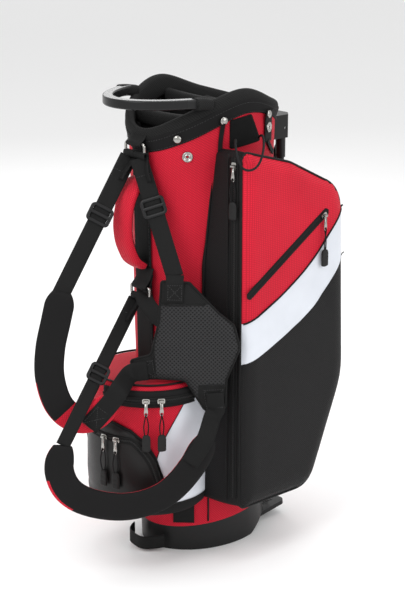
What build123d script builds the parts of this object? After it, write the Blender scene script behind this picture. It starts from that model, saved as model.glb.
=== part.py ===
from build123d import *
import os
from math import atan2, cos, degrees, hypot, pi, radians, sin, sqrt, tan

# Golf stand bag, millimetres. Origin: centre of the base's underside, +Z up.
# -Y is the spine side, where the bag is carried; +Y is the side of the stand legs;
# +X is the side of the large garment pocket.

# ---------------------------------------------------------------- driving dimensions
base_half_x = 98.0            # half-axes of the body oval at floor level
base_half_y = 126.0
top_half_x = 109.0            # half-axes of the body oval at the collar seam
top_half_y = 140.0
seam_height = 760.0           # height at which the top half-axes are measured
sleeve_wall = 3.0             # padded fabric wall
gap = 0.3                     # clearance between pieces that move past each other
seat = 0.2                    # clearance between pieces that only lie side by side

cup_front_height = 46.0       # moulded base cup, at the spine side
cup_rear_height = 66.0        # and at the leg side
cup_wall = 4.0
cup_floor = 7.0
cup_foot_inset = 2.0
cup_spigot_height = 16.0      # part of the cup that stands inside the sleeve
heel_start_y = 40.0           # where the floor of the cup starts to rise
heel_angle = 25.0

lever_hinge_y = 46.0          # foot lever under the heel
lever_hinge_z = 7.0
lever_thickness = 8.0
lever_half_width = 62.0
lever_end_y = 156.0
lever_rest_angle = 8.0
lever_recess_angle = 20.5
lever_recess_gap = 1.0
lever_pin_radius = 2.0
lever_knuckle_radius = 4.0

rim_side_height = 836.0       # collar rim, at the sides of the bag
rim_spine_height = 742.0
rim_leg_height = 779.0
collar_flare = 6.0            # how far the padded rim stands out past the sleeve
collar_inner_half_x = 99.0
collar_inner_half_y = 130.0
frame_ring_height = 14.0      # moulded ring inside the collar
frame_ring_wall = 4.0
divider_bar_width = 16.0
divider_bar_height = 30.0
divider_bar_corner = 7.0
divider_panel_wall = 1.6
divider_panel_margin = 3.0    # panel edges stop this far inside the frame ring's wall
divider_panel_lift = 6.0      # and this far above the cup's spigot
divider_places = ((-88.0, 796.0), (6.0, 812.0), (76.0, 794.0))   # y and top of each bar

grip_outer_half_x = 118.0     # moulded top handle over the spine side of the collar
grip_outer_half_y = 200.0
grip_band = 19.0
grip_height = 16.0
grip_bottom = 811.0
grip_end_y = -86.0

leg_pivot_x = 27.0            # stand legs
leg_pivot_y = 165.0
leg_pivot_z = 740.0
leg_splay = 20.0              # the legs swing outwards in plan by this angle
leg_tube_radius = 7.0
leg_tube_wall = 1.2
leg_bottom = 85.0
leg_foot_radius = 11.0
leg_foot_height = 34.0
leg_knuckle_radius = 9.0
leg_knuckle_half_width = 8.5
leg_pin_radius = 2.5
leg_socket_length = 56.0
link_arm = 40.0               # from the leg's pivot down to the link's pin on the leg
link_drop = 45.0              # from that pin down to the link's pin on the rod, at rest
link_reach = 22.0             # from the leg's pivot line in to the rod's line
link_offset = 11.5            # the links run beside the knuckles
link_thickness = 3.0
link_half_width = 6.0
link_pin_radius = 2.0
link_slack = 2.6              # slot in the link that lets the open linkage close
link_slack_side = 1.0
bracket_half_width = 46.0
bracket_bottom = 722.0
bracket_top = 764.0
bracket_outer_y = 179.0
rod_radius = 2.0
rod_gap_at_lever = 0.5
rod_guide_heights = (170.0, 390.0, 600.0)
rod_guide_height = 12.0
rod_guide_half_width = 6.0

pocket_depth_x = 162.0        # shoulder line of the garment pocket's front panel
pocket_face_x = 178.0         # its crowned outer face
pocket_root_x = 70.0
pocket_wall = 2.0
gusset_outer_y = -60.0        # the garment pocket's zip gusset, at the shoulder line
gusset_root_y = -82.0         # and at the body
gusset_zip_x = 150.0

pouch_axis_y = -124.0         # the round accessory pouch on the spine side
pouch_radius = 104.0
pouch_wall = 2.0
pouch_bottom = 96.0
pouch_top = 342.0
smile_band_rise = 8.0         # padded band that carries the pouch's upper zip
smile_band_width = 26.0
smile_zip_z = 319.0
ball_pocket_rise = 10.0       # ball pocket, raised round the pouch's front
ball_pocket_low = 112.0
ball_pocket_high = 260.0
ball_pocket_wall = 2.0
ball_pocket_half_angle = 40.0
ball_zip_z = 244.0

tape_width = 9.0              # zips
tape_thickness = 1.0
slider_width = 9.0
slider_length = 13.0
slider_thickness = 2.2
pull_pin_out = 5.0            # pull's hinge pin, out from the tape's face
pull_pin_radius = 0.8
pull_eye_radius = 2.2
tab_width = 7.0
tab_thickness = 1.4
tab_length = 26.0
tab_hole_radius = 2.2
tab_hole_drop = 22.6
cheek_thickness = 1.0
cord_radius = 1.1
grip_tag_top = 62.0           # moulded grip on the pull's cord, below the hinge pin
grip_tag_length = 28.0
grip_tag_width = 12.0
grip_tag_thickness = 6.0

webbing_width = 38.0          # carrying harness
webbing_thickness = 2.0
pad_thickness = 14.0
back_pad_thickness = 12.0
shoulder_pad_width = 50.0
buckle_length = 34.0
buckle_side = 6.0
buckle_thickness = 7.0
ring_wire = 2.5

# ---------------------------------------------------------------- worked-out values
lever_rest = radians(lever_rest_angle)
splay = radians(leg_splay)
rod_x = leg_pivot_x - link_reach * sin(splay)
rod_y = leg_pivot_y - link_reach * cos(splay)
rod_top = leg_pivot_z - link_arm - link_drop
link_length = hypot(link_reach, link_drop)
lever_top_at_rod = (lever_hinge_z + (rod_y - lever_hinge_y) * tan(lever_rest)
                    + lever_thickness / 2 / cos(lever_rest))
rod_foot_z = lever_top_at_rod + rod_radius / cos(lever_rest) + rod_gap_at_lever
far = 400.0                   # past every face, for cutting slabs


def half_x(z, grow=0.0):
    """Body oval's half-axis along X at a height, grown or shrunk by an offset."""
    return base_half_x + (top_half_x - base_half_x) * z / seam_height + grow


def half_y(z, grow=0.0):
    """Body oval's half-axis along Y at a height, grown or shrunk by an offset."""
    return base_half_y + (top_half_y - base_half_y) * z / seam_height + grow


def oval_solid(low, high, grow_low, grow_high):
    """Solid oval cone of the body between two heights."""
    with BuildPart() as solid:
        with BuildSketch(Plane.XY.offset(low)):
            Ellipse(half_x(low, grow_low), half_y(low, grow_low))
        with BuildSketch(Plane.XY.offset(high)):
            Ellipse(half_x(high, grow_high), half_y(high, grow_high))
        loft(ruled=True)
    return solid.part


def side_profile(points, top):
    """Slab under a smooth line drawn in the YZ plane, right across the bag."""
    with BuildPart() as slab:
        with BuildSketch(Plane.YZ.offset(-far / 2)):
            with BuildLine():
                line = Spline(*points)
                Polyline(line @ 1, (points[-1][0], top), (points[0][0], top), line @ 0)
            make_face()
        extrude(amount=far)
    return slab.part


def finish(builder, label):
    """Label a finished piece and write it as its own file."""
    builder.part.label = label
    export_step(builder.part, f"parts/{label}.step")


def upright_plane(angle, distance):
    """Vertical plane whose normal points at an angle in plan; its local y is up."""
    normal = Vector(cos(radians(angle)), sin(radians(angle)), 0)
    return Plane(normal * distance, x_dir=(-normal.Y, normal.X, 0), z_dir=normal)


os.makedirs("parts", exist_ok=True)

# ---------------------------------------------------------------- seam and rim lines
hem_line = ((-170, seam_height - 42), (-108, seam_height - 4), (-10, seam_height + 38),
            (60, seam_height + 30), (170, seam_height - 18))
rim_line = ((-170, rim_spine_height), (-106, rim_side_height - 37), (-10, rim_side_height),
            (80, rim_side_height - 27), (170, rim_leg_height))
above_hem = side_profile(hem_line, rim_side_height + far)
above_rim = side_profile(rim_line, rim_side_height + far)
body_outer = oval_solid(0, rim_side_height + 10, 0, 0)
body_outer_clear = oval_solid(0, rim_side_height + 10, seat, seat)

# ---------------------------------------------------------------- base cup
heel_rise = tan(radians(heel_angle))
recess_rise = tan(radians(lever_recess_angle))
recess_lift = (lever_thickness / 2 + lever_recess_gap) / cos(radians(lever_recess_angle))
cup_mouth_slope = (cup_rear_height - cup_front_height) / (2 * base_half_y)


def cup_mouth_z(y):
    """Height of the cup's sloping mouth."""
    return cup_front_height + cup_mouth_slope * (y + base_half_y)


def slab_below(points):
    """Right-across slab from a polygon drawn in the YZ plane."""
    with BuildPart() as slab:
        with BuildSketch(Plane.YZ.offset(-far / 2)):
            with BuildLine():
                Polyline(*points, close=True)
            make_face()
        extrude(amount=far)
    return slab.part


cup_above = slab_below([(-far, cup_mouth_z(-far)), (far, cup_mouth_z(far)),
                        (far, far * 2), (-far, far * 2)])
spigot_above = slab_below([(-far, cup_mouth_z(-far) + cup_spigot_height),
                           (far, cup_mouth_z(far) + cup_spigot_height),
                           (far, far * 2), (-far, far * 2)])
heel_cut = slab_below([(heel_start_y, -1), (heel_start_y, 0),
                       (far, (far - heel_start_y) * heel_rise), (far, -1)])
hollow_cut = slab_below([(-far, cup_floor), (heel_start_y - 34, cup_floor),
                         (heel_start_y - 24, cup_floor + 12),
                         (heel_start_y + 24, cup_floor + 12 + 2),
                         (far, cup_floor + 14 + (far - heel_start_y - 24) * heel_rise),
                         (far, far * 2), (-far, far * 2)])

with BuildPart() as recess_tool:
    with BuildSketch(Plane.YZ.offset(-lever_half_width - gap * 3)):
        with BuildLine():
            Polyline((lever_hinge_y, -1),
                     (lever_hinge_y, lever_hinge_z + recess_lift),
                     (far, lever_hinge_z + recess_lift + (far - lever_hinge_y) * recess_rise),
                     (far, -1), close=True)
        make_face()
        with Locations((lever_hinge_y, lever_hinge_z)):
            Circle(lever_knuckle_radius + 1.2)
        with Locations((lever_hinge_y, lever_hinge_z / 2 - 1)):
            Rectangle(2 * lever_knuckle_radius + 2.4, lever_hinge_z + 2)
    extrude(amount=2 * (lever_half_width + gap * 3))

cup_shell_tool = oval_solid(0, cup_rear_height + far / 4, -cup_foot_inset, 0)
cup_inner_tool = oval_solid(0, cup_rear_height + far / 4, -cup_wall - cup_foot_inset,
                            -cup_wall)
spigot_outer_tool = oval_solid(0, cup_rear_height + far / 4, -sleeve_wall - seat,
                               -sleeve_wall - seat)
with BuildPart() as spigot:
    add(spigot_outer_tool)
    add(spigot_above, mode=Mode.SUBTRACT)
with BuildPart() as cup_hollow:
    add(cup_inner_tool)
    add(hollow_cut, mode=Mode.INTERSECT)
    add(recess_tool.part, mode=Mode.SUBTRACT)

with BuildPart() as base_cup:
    add(cup_shell_tool)
    add(cup_above, mode=Mode.SUBTRACT)
    add(spigot.part)
    add(cup_hollow.part, mode=Mode.SUBTRACT)
    add(heel_cut, mode=Mode.SUBTRACT)
    add(recess_tool.part, mode=Mode.SUBTRACT)
    for side in (-1, 1):
        pin_plane = Plane.YZ.offset(side * (lever_half_width + 6))
        with BuildSketch(pin_plane):
            with Locations((lever_hinge_y, lever_hinge_z)):
                Circle(lever_pin_radius)
        extrude(amount=-side * 7, mode=Mode.SUBTRACT)
finish(base_cup, "base_cup")

# ---------------------------------------------------------------- foot lever
lever_plane = Plane((0, lever_hinge_y, lever_hinge_z), x_dir=(1, 0, 0),
                    z_dir=(0, -sin(lever_rest), cos(lever_rest)))
lever_length = (lever_end_y - lever_hinge_y) / cos(lever_rest)
with BuildPart() as base_lever:
    with BuildSketch(lever_plane.offset(-lever_thickness / 2)):
        with BuildLine():
            FilletPolyline((-lever_half_width, 0), (lever_half_width, 0),
                           (lever_half_width, lever_length), (-lever_half_width, lever_length),
                           radius=[0.5, 10, 10, 0.5], close=True)
        make_face()
    extrude(amount=lever_thickness)
    with BuildSketch(Plane.YZ.offset(-lever_half_width)):
        with Locations((lever_hinge_y, lever_hinge_z)):
            Circle(lever_knuckle_radius)
    extrude(amount=2 * lever_half_width)
    with BuildSketch(Plane.YZ.offset(-lever_half_width - 1)):
        with Locations((lever_hinge_y, lever_hinge_z)):
            Circle(lever_pin_radius + 0.05)
    extrude(amount=2 * lever_half_width + 2, mode=Mode.SUBTRACT)
    with BuildSketch(lever_plane.offset(lever_thickness / 2 - 1.2)):
        for row in range(1, 6):
            with Locations((0, lever_length - 14 - row * 5)):
                Rectangle(1.5 * lever_half_width, 2)
    extrude(amount=2, mode=Mode.SUBTRACT)
finish(base_lever, "base_lever")

with BuildPart() as lever_pin:
    with BuildSketch(Plane.YZ.offset(-lever_half_width - 6)):
        with Locations((lever_hinge_y, lever_hinge_z)):
            Circle(lever_pin_radius)
    extrude(amount=2 * (lever_half_width + 6))
finish(lever_pin, "lever_pin")

# ---------------------------------------------------------------- body sleeve
with BuildPart() as body_sleeve:
    add(body_outer)
    add(oval_solid(0, rim_side_height + 10, -sleeve_wall, -sleeve_wall), mode=Mode.SUBTRACT)
    add(above_hem, mode=Mode.SUBTRACT)
    add(cup_above, mode=Mode.INTERSECT)
finish(body_sleeve, "body_sleeve")

# ---------------------------------------------------------------- collar
with BuildPart() as grip_tool:
    with BuildSketch(Plane.XY.offset(grip_bottom)):
        Ellipse(grip_outer_half_x, grip_outer_half_y)
        Ellipse(grip_outer_half_x - grip_band, grip_outer_half_y - grip_band,
                mode=Mode.SUBTRACT)
        with Locations((0, grip_end_y + far / 2)):
            Rectangle(far, far, mode=Mode.SUBTRACT)
    extrude(amount=grip_height)
    fillet(grip_tool.edges().filter_by(GeomType.ELLIPSE), radius=3)

with BuildPart() as collar_inner_tool:
    with BuildSketch(Plane.XY.offset(seam_height - far / 4)):
        Ellipse(collar_inner_half_x, collar_inner_half_y)
    extrude(amount=far)

with BuildPart() as collar_pad:
    add(oval_solid(seam_height - 60, rim_side_height + 10, 0.5, collar_flare))
    add(collar_inner_tool.part, mode=Mode.SUBTRACT)
    add(above_hem, mode=Mode.INTERSECT)
    add(above_rim, mode=Mode.SUBTRACT)
    add(grip_tool.part, mode=Mode.SUBTRACT)
collar_pad_solids = collar_pad.solids().sort_by(SortBy.VOLUME)
with BuildPart() as collar_pad:
    add(collar_pad_solids[-1])
finish(collar_pad, "collar_pad")

finish(grip_tool, "top_handle")

ring_top = seam_height - 44
ring_outer = -sleeve_wall - seat
with BuildPart() as collar_frame:
    add(oval_solid(ring_top - frame_ring_height, ring_top, ring_outer, ring_outer))
    add(oval_solid(ring_top - frame_ring_height, ring_top, ring_outer - frame_ring_wall,
                   ring_outer - frame_ring_wall), mode=Mode.SUBTRACT)
    for bar_y, _ in divider_places:
        reach = half_y(ring_top) + ring_outer
        span = (half_x(ring_top) + ring_outer) * sqrt(1 - (bar_y / reach) ** 2)
        with BuildSketch(Plane.XY.offset(ring_top - frame_ring_height + 1)):
            with Locations((0, bar_y)):
                Rectangle(2 * (span - frame_ring_wall / 2), frame_ring_wall)
        extrude(amount=frame_ring_height - 2)
finish(collar_frame, "collar_frame")

with BuildPart() as divider_bars:
    for bar_y, bar_top in divider_places:
        bar_reach = abs(bar_y) + divider_bar_width / 2
        span = (collar_inner_half_x - seat) * sqrt(
            1 - (bar_reach / (collar_inner_half_y - seat)) ** 2)
        bar_centre = bar_top - divider_bar_height / 2
        with BuildSketch(Plane.XZ.offset(-bar_y - divider_bar_width / 2)):
            with Locations((0, bar_centre)):
                RectangleRounded(2 * span, divider_bar_height, divider_bar_corner)
        extrude(amount=divider_bar_width)
finish(divider_bars, "divider_bars")

with BuildPart() as divider_panels:
    panel_inset = sleeve_wall + frame_ring_wall + divider_panel_margin
    for bar_y, bar_top in divider_places:
        for low, high in ((cup_rear_height + cup_spigot_height + divider_panel_lift,
                           ring_top - frame_ring_height - seat),
                          (ring_top + seat, bar_top - divider_bar_height - seat)):
            span = (half_x(low) - panel_inset) * sqrt(
                1 - (bar_y / (half_y(low) - panel_inset)) ** 2)
            span = min(span, (collar_inner_half_x - 2) * sqrt(
                1 - (bar_y / collar_inner_half_y) ** 2))
            with BuildSketch(Plane.XZ.offset(-bar_y - divider_panel_wall / 2)):
                with Locations((0, (low + high) / 2)):
                    Rectangle(2 * span, high - low)
            extrude(amount=divider_panel_wall)
finish(divider_panels, "divider_panels")

# rivets and snaps: each one's angle round the body oval, and its height
rivet_places = ((-54, 758), (-20, 786), (23, 785))
snap_places = ((-46.5, 727), (26, 761))
rivet_radius = 6.0
rivet_rise = 2.2
rivet_taper = 25.0
snap_radius = 8.5
snap_socket_radius = 2.2
snap_rise = 2.0
snap_lift = 0.3               # clear of the sleeve


def on_body(angle, z, grow=0.0):
    """Plane lying on the body's skin at a plan angle and a height, facing outwards."""
    a = radians(angle)
    place = Vector(half_x(z, grow) * cos(a), half_y(z, grow) * sin(a), z)
    normal = Vector(cos(a) / half_x(z), sin(a) / half_y(z), 0).normalized()
    return Plane(place, x_dir=(-normal.Y, normal.X, 0), z_dir=normal)


with BuildPart() as collar_rivets:
    for angle, z in rivet_places:
        with BuildSketch(on_body(angle, z, collar_flare + 1)):
            Circle(rivet_radius)
        extrude(amount=rivet_rise, taper=rivet_taper)
    for angle, z in snap_places:
        with BuildSketch(on_body(angle, z, snap_lift)):
            Circle(snap_radius)
            Circle(snap_socket_radius, mode=Mode.SUBTRACT)
        extrude(amount=snap_rise)
finish(collar_rivets, "collar_rivets_and_snaps")

with BuildPart() as glove_patch_block:
    with BuildSketch(Plane.YZ.offset(60)):
        with BuildLine():
            FilletPolyline((-34, 736), (38, 742), (12, 791), (-34, 785), radius=4, close=True)
        make_face()
    extrude(amount=60)
with BuildPart() as glove_patch:
    add(oval_solid(700, 800, 2.0, 2.0))
    add(oval_solid(700, 800, seat, seat), mode=Mode.SUBTRACT)
    add(glove_patch_block.part, mode=Mode.INTERSECT)
finish(glove_patch, "glove_patch")

# ---------------------------------------------------------------- legs and linkage
for name, side in (("left", -1), ("right", 1)):
    pivot = Vector(side * leg_pivot_x, leg_pivot_y, leg_pivot_z)
    swing = Vector(side * sin(splay), cos(splay), 0)           # way the leg swings out
    inward = Vector(-side * cos(splay), sin(splay), 0)          # along the pivot, inwards
    inward_plane = Plane(pivot, x_dir=swing, z_dir=inward)
    up = 1 if inward_plane.y_dir.Z > 0 else -1

    with BuildPart() as leg_tube:
        tube_top = leg_pivot_z - leg_knuckle_radius - 5
        with BuildSketch(Plane((pivot.X, pivot.Y, leg_bottom + 6))):
            Circle(leg_tube_radius)
            Circle(leg_tube_radius - leg_tube_wall, mode=Mode.SUBTRACT)
        extrude(amount=tube_top - leg_bottom - 6)
    finish(leg_tube, f"leg_tube_{name}")

    with BuildPart() as leg_foot:
        with BuildSketch(Plane((pivot.X, pivot.Y, leg_bottom))):
            Circle(leg_foot_radius)
        with BuildSketch(Plane((pivot.X, pivot.Y, leg_bottom + leg_foot_height))):
            Circle(leg_tube_radius + 2)
        loft()
        with BuildSketch(Plane((pivot.X, pivot.Y, leg_bottom + 6))):
            Circle(leg_tube_radius)
        extrude(amount=leg_foot_height, mode=Mode.SUBTRACT)
    finish(leg_foot, f"leg_foot_{name}")

    with BuildPart() as leg_knuckle:
        with BuildSketch(inward_plane.offset(-leg_knuckle_half_width)):
            Circle(leg_knuckle_radius)
        extrude(amount=2 * leg_knuckle_half_width)
        with BuildSketch(Plane((pivot.X, pivot.Y, leg_pivot_z - leg_socket_length))):
            Circle(leg_tube_radius + 2)
        extrude(amount=leg_socket_length)
        with BuildSketch(inward_plane.offset(leg_tube_radius)):
            with Locations((0, -up * link_arm)):
                Circle(link_pin_radius)
        extrude(amount=link_offset + link_thickness / 2 + 1.2 - leg_tube_radius)
        with BuildSketch(Plane((pivot.X, pivot.Y, leg_pivot_z - leg_socket_length))):
            Circle(leg_tube_radius)
        extrude(amount=tube_top - leg_pivot_z + leg_socket_length, mode=Mode.SUBTRACT)
        with BuildSketch(inward_plane.offset(-leg_knuckle_half_width - 1)):
            Circle(leg_pin_radius + 0.05)
        extrude(amount=2 * leg_knuckle_half_width + 2, mode=Mode.SUBTRACT)
    finish(leg_knuckle, f"leg_knuckle_{name}")

    rod_end = (-link_reach, -up * (link_arm + link_drop))
    leg_end = (0, -up * link_arm)
    run_angle = degrees(atan2(leg_end[1] - rod_end[1], leg_end[0] - rod_end[0]))
    middle = ((rod_end[0] + leg_end[0]) / 2, (rod_end[1] + leg_end[1]) / 2)
    with BuildPart() as link:
        with BuildSketch(inward_plane.offset(link_offset - link_thickness / 2)):
            with Locations(Location((middle[0], middle[1], 0), (0, 0, run_angle))):
                SlotCenterToCenter(link_length, 2 * link_half_width)
            with Locations(rod_end):
                Circle(link_pin_radius + 0.05, mode=Mode.SUBTRACT)
            along = Vector(leg_end[0] - rod_end[0], leg_end[1] - rod_end[1]).normalized()
            slot_middle = (leg_end[0] - along.X * link_slack / 2,
                           leg_end[1] - along.Y * link_slack / 2)
            with Locations(Location((slot_middle[0], slot_middle[1], 0), (0, 0, run_angle))):
                SlotCenterToCenter(link_slack, 2 * (link_pin_radius + gap + link_slack_side),
                                   mode=Mode.SUBTRACT)
        extrude(amount=link_thickness)
    finish(link, f"link_{name}")

with BuildPart() as actuator_rod:
    with BuildLine():
        FilletPolyline((-rod_x, rod_y, rod_top), (-rod_x, rod_y, rod_foot_z),
                       (rod_x, rod_y, rod_foot_z), (rod_x, rod_y, rod_top), radius=8)
    with BuildSketch(Plane((-rod_x, rod_y, rod_top), z_dir=(0, 0, -1))):
        Circle(rod_radius)
    sweep()
    for side in (-1, 1):
        pivot = Vector(side * leg_pivot_x, leg_pivot_y, leg_pivot_z)
        swing = Vector(side * sin(splay), cos(splay), 0)
        inward = Vector(-side * cos(splay), sin(splay), 0)
        rod_pin = Vector(side * rod_x, rod_y, rod_top)
        with BuildSketch(Plane(rod_pin, x_dir=swing, z_dir=inward)):
            Circle(link_pin_radius)
        extrude(amount=link_offset + link_thickness / 2 + 1.2)
finish(actuator_rod, "actuator_rod")

with BuildPart() as leg_bracket:
    bracket_plane = Plane.XY.offset(bracket_bottom)
    with BuildSketch(bracket_plane):
        with BuildLine():
            FilletPolyline((-bracket_half_width, 90), (bracket_half_width, 90),
                           (bracket_half_width, bracket_outer_y - 14),
                           (bracket_half_width - 16, bracket_outer_y),
                           (-bracket_half_width + 16, bracket_outer_y),
                           (-bracket_half_width, bracket_outer_y - 14),
                           radius=[1, 1, 6, 6, 6, 6], close=True)
        make_face()
    extrude(amount=bracket_top - bracket_bottom)
    add(oval_solid(seam_height - 60, rim_side_height + 10, 0.5 + seat, collar_flare + seat),
        mode=Mode.SUBTRACT)
    slot_half = leg_knuckle_half_width + gap * 2
    slot_top = leg_knuckle_radius + 1.5
    for side in (-1, 1):
        pivot = Vector(side * leg_pivot_x, leg_pivot_y, leg_pivot_z)
        swing = Vector(side * sin(splay), cos(splay), 0)
        inward = Vector(-side * cos(splay), sin(splay), 0)
        with BuildSketch(Plane(pivot - Vector(0, 0, 60), x_dir=swing, z_dir=(0, 0, 1))):
            with Locations((15, 0)):
                Rectangle(2 * (15 + slot_top), 2 * slot_half)
        extrude(amount=60 + slot_top, mode=Mode.SUBTRACT)
        with BuildSketch(Plane(pivot - inward * 30, x_dir=swing, z_dir=inward)):
            Circle(leg_pin_radius)
        extrude(amount=30 + leg_knuckle_half_width + 6, mode=Mode.SUBTRACT)
finish(leg_bracket, "leg_bracket")

with BuildPart() as leg_pivot_pins:
    for side in (-1, 1):
        pivot = Vector(side * leg_pivot_x, leg_pivot_y, leg_pivot_z)
        swing = Vector(side * sin(splay), cos(splay), 0)
        inward = Vector(-side * cos(splay), sin(splay), 0)
        with BuildSketch(Plane(pivot - inward * 17, x_dir=swing, z_dir=inward)):
            Circle(leg_pin_radius)
        extrude(amount=17 + leg_knuckle_half_width + 6)
finish(leg_pivot_pins, "leg_pivot_pins")

with BuildPart() as rod_guides:
    for z in rod_guide_heights:
        for side in (-1, 1):
            with BuildSketch(Plane.XY.offset(z)):
                with Locations((side * rod_x, (rod_y + rod_guide_half_width) / 2 + 50)):
                    Rectangle(2 * rod_guide_half_width, rod_y + rod_guide_half_width - 100)
                with Locations((side * rod_x, rod_y)):
                    Circle(rod_radius + gap, mode=Mode.SUBTRACT)
            extrude(amount=rod_guide_height)
    add(body_outer_clear, mode=Mode.SUBTRACT)
finish(rod_guides, "rod_guides")

# ---------------------------------------------------------------- garment pocket
pocket_outline = ((gusset_outer_y, 743), (52, 711), (178, 648), (192, 300), (112, 103),
                  (gusset_outer_y, 103))
pocket_outline_radii = (12, 90, 62, 150, 45, 14)
pocket_root = ((gusset_root_y, 738), (20, 716), (96, 665), (104, 300), (64, 110),
               (gusset_root_y, 106))
pocket_root_radii = (8, 50, 34, 80, 24, 8)


def outline_face(points, radii, plane, inset):
    """Rounded outline on a plane, drawn in by an inset."""
    with BuildSketch(plane) as sketch:
        with BuildLine():
            FilletPolyline(*points, radius=list(radii), close=True)
        make_face()
        if inset:
            offset(amount=-inset)
    return sketch.sketch


def pocket_solid(inset):
    """The garment pocket's outer form, or its hollow."""
    with BuildPart() as form:
        add(outline_face(pocket_root, pocket_root_radii, Plane.YZ.offset(pocket_root_x), inset))
        add(outline_face(pocket_outline, pocket_outline_radii,
                         Plane.YZ.offset(pocket_depth_x), inset))
        loft(ruled=True)
    with BuildPart() as crown:
        add(outline_face(pocket_outline, pocket_outline_radii,
                         Plane.YZ.offset(pocket_depth_x), inset))
        add(outline_face(pocket_outline, pocket_outline_radii,
                         Plane.YZ.offset(pocket_face_x - inset), inset * 1.2 + 9.5))
        loft(ruled=True)
    return form.part + crown.part


pocket_outer = pocket_solid(0)
with BuildPart() as garment_pocket:
    add(pocket_outer)
    add(pocket_solid(pocket_wall), mode=Mode.SUBTRACT)
    add(body_outer_clear, mode=Mode.SUBTRACT)
pocket_shell = garment_pocket.solids().sort_by(SortBy.VOLUME)[-1]
with BuildPart() as garment_pocket:
    add(pocket_shell)
finish(garment_pocket, "garment_pocket")

# ---------------------------------------------------------------- accessory pouch
pouch_axis = Axis((0, pouch_axis_y, 0), (0, 0, 1))
smile_face = pouch_radius + smile_band_rise


def pouch_ring(points, radii, start, stop):
    """Ring sector about the pouch's axis from a rounded profile of radius and height."""
    a = radians(start)
    plane = Plane((0, pouch_axis_y, 0), x_dir=(cos(a), sin(a), 0), z_dir=(sin(a), -cos(a), 0))
    with BuildPart() as ring:
        with BuildSketch(plane):
            with BuildLine():
                FilletPolyline(*points, radius=radii, close=True)
            make_face()
        revolve(axis=pouch_axis, revolution_arc=stop - start)
    return ring.part


def pouch_form(inset):
    """The pouch's outer form, or its hollow."""
    top = pouch_top - inset
    low = pouch_bottom + inset
    outer = pouch_radius - inset
    return pouch_ring(((0, low), (outer - 14, low), (outer, low + 22), (outer, top),
                       (0, top)), [0, 12, 16, 12, 0], 0, 360)


smile_zip_angles = (-88.0, 4.0)
with BuildPart() as accessory_pouch:
    add(pouch_form(0))
    add(pouch_ring(((pouch_radius - pouch_wall / 2, smile_zip_z - smile_band_width / 2),
                    (smile_face, smile_zip_z - smile_band_width / 2),
                    (smile_face, smile_zip_z + smile_band_width / 2),
                    (pouch_radius - pouch_wall / 2, smile_zip_z + smile_band_width / 2)),
                   [0, 3, 3, 0], *smile_zip_angles))
    add(pouch_form(pouch_wall), mode=Mode.SUBTRACT)
    add(body_outer_clear, mode=Mode.SUBTRACT)
    add(pocket_outer, mode=Mode.SUBTRACT)
    with BuildSketch(Plane.XY.offset(pouch_bottom - 1)):
        with Locations((0, far / 2)):
            Rectangle(far, far)
    extrude(amount=pouch_top, mode=Mode.SUBTRACT)
pouch_shell = accessory_pouch.solids().sort_by(SortBy.VOLUME)[-1]
with BuildPart() as accessory_pouch:
    add(pouch_shell)
finish(accessory_pouch, "accessory_pouch")

ball_start = -90 - ball_pocket_half_angle
ball_stop = -90 + ball_pocket_half_angle
ball_face = pouch_radius + ball_pocket_rise
wall_turn = degrees(ball_pocket_wall / ball_face)
with BuildPart() as ball_pocket:
    add(pouch_ring(((pouch_radius + seat, ball_pocket_low), (ball_face, ball_pocket_low),
                    (ball_face, ball_pocket_high), (pouch_radius + seat, ball_pocket_high)),
                   [0, 8, 8, 0], ball_start, ball_stop))
    add(pouch_ring(((pouch_radius - 1, ball_pocket_low + ball_pocket_wall),
                    (ball_face - ball_pocket_wall, ball_pocket_low + ball_pocket_wall),
                    (ball_face - ball_pocket_wall, ball_pocket_high - ball_pocket_wall),
                    (pouch_radius - 1, ball_pocket_high - ball_pocket_wall)),
                   [0, 6, 6, 0], ball_start + wall_turn, ball_stop - wall_turn),
        mode=Mode.SUBTRACT)
finish(ball_pocket, "ball_pocket")

# ---------------------------------------------------------------- zips
gusset_slope = (gusset_outer_y - gusset_root_y) / (pocket_depth_x - pocket_root_x)
gusset_normal = Vector(gusset_slope, -1, 0).normalized()
gusset_face_y = gusset_outer_y - (pocket_depth_x - gusset_zip_x) * gusset_slope
gusset_plane = Plane((gusset_zip_x, gusset_face_y, 0), x_dir=(-gusset_normal.Y,
                     gusset_normal.X, 0), z_dir=gusset_normal).offset(seat)
panel_plane = Plane((pocket_face_x + seat, 0, 0), x_dir=(0, 1, 0), z_dir=(1, 0, 0))
garment_zip_low = 128.0
garment_zip_high = 726.0
panel_zip_ends = ((-52.0, 498.0), (128.0, 613.0))
ball_zip_angles = (ball_start + 3, ball_stop - 3)


def straight_tape(plane, start, end):
    """Zip tape and teeth along a straight line on a plane."""
    run = Vector(end[0] - start[0], end[1] - start[1])
    angle = degrees(atan2(run.Y, run.X))
    middle = ((start[0] + end[0]) / 2, (start[1] + end[1]) / 2)
    with BuildPart() as tape:
        with BuildSketch(plane):
            with Locations(Location((middle[0], middle[1], 0), (0, 0, angle))):
                SlotCenterToCenter(run.length, tape_width)
        extrude(amount=tape_thickness)
    return tape.part


def band_tape(face, z, width, thickness, angles):
    """Zip tape and teeth lying round the pouch at one height."""
    return pouch_ring(((face, z - width / 2), (face + thickness, z - width / 2),
                       (face + thickness, z + width / 2), (face, z + width / 2)),
                      [0, 0, 0, 0], *angles)


for label, solid in (
        ("garment_zip", straight_tape(gusset_plane, (0, garment_zip_low),
                                      (0, garment_zip_high))),
        ("panel_zip", straight_tape(panel_plane, *panel_zip_ends)),
        ("smile_zip", band_tape(smile_face + seat, smile_zip_z, tape_width,
                                tape_thickness, smile_zip_angles)),
        ("ball_zip", band_tape(ball_face + seat, ball_zip_z, tape_width, tape_thickness,
                               ball_zip_angles))):
    with BuildPart() as zip_tape:
        add(solid)
    finish(zip_tape, label)


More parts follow.
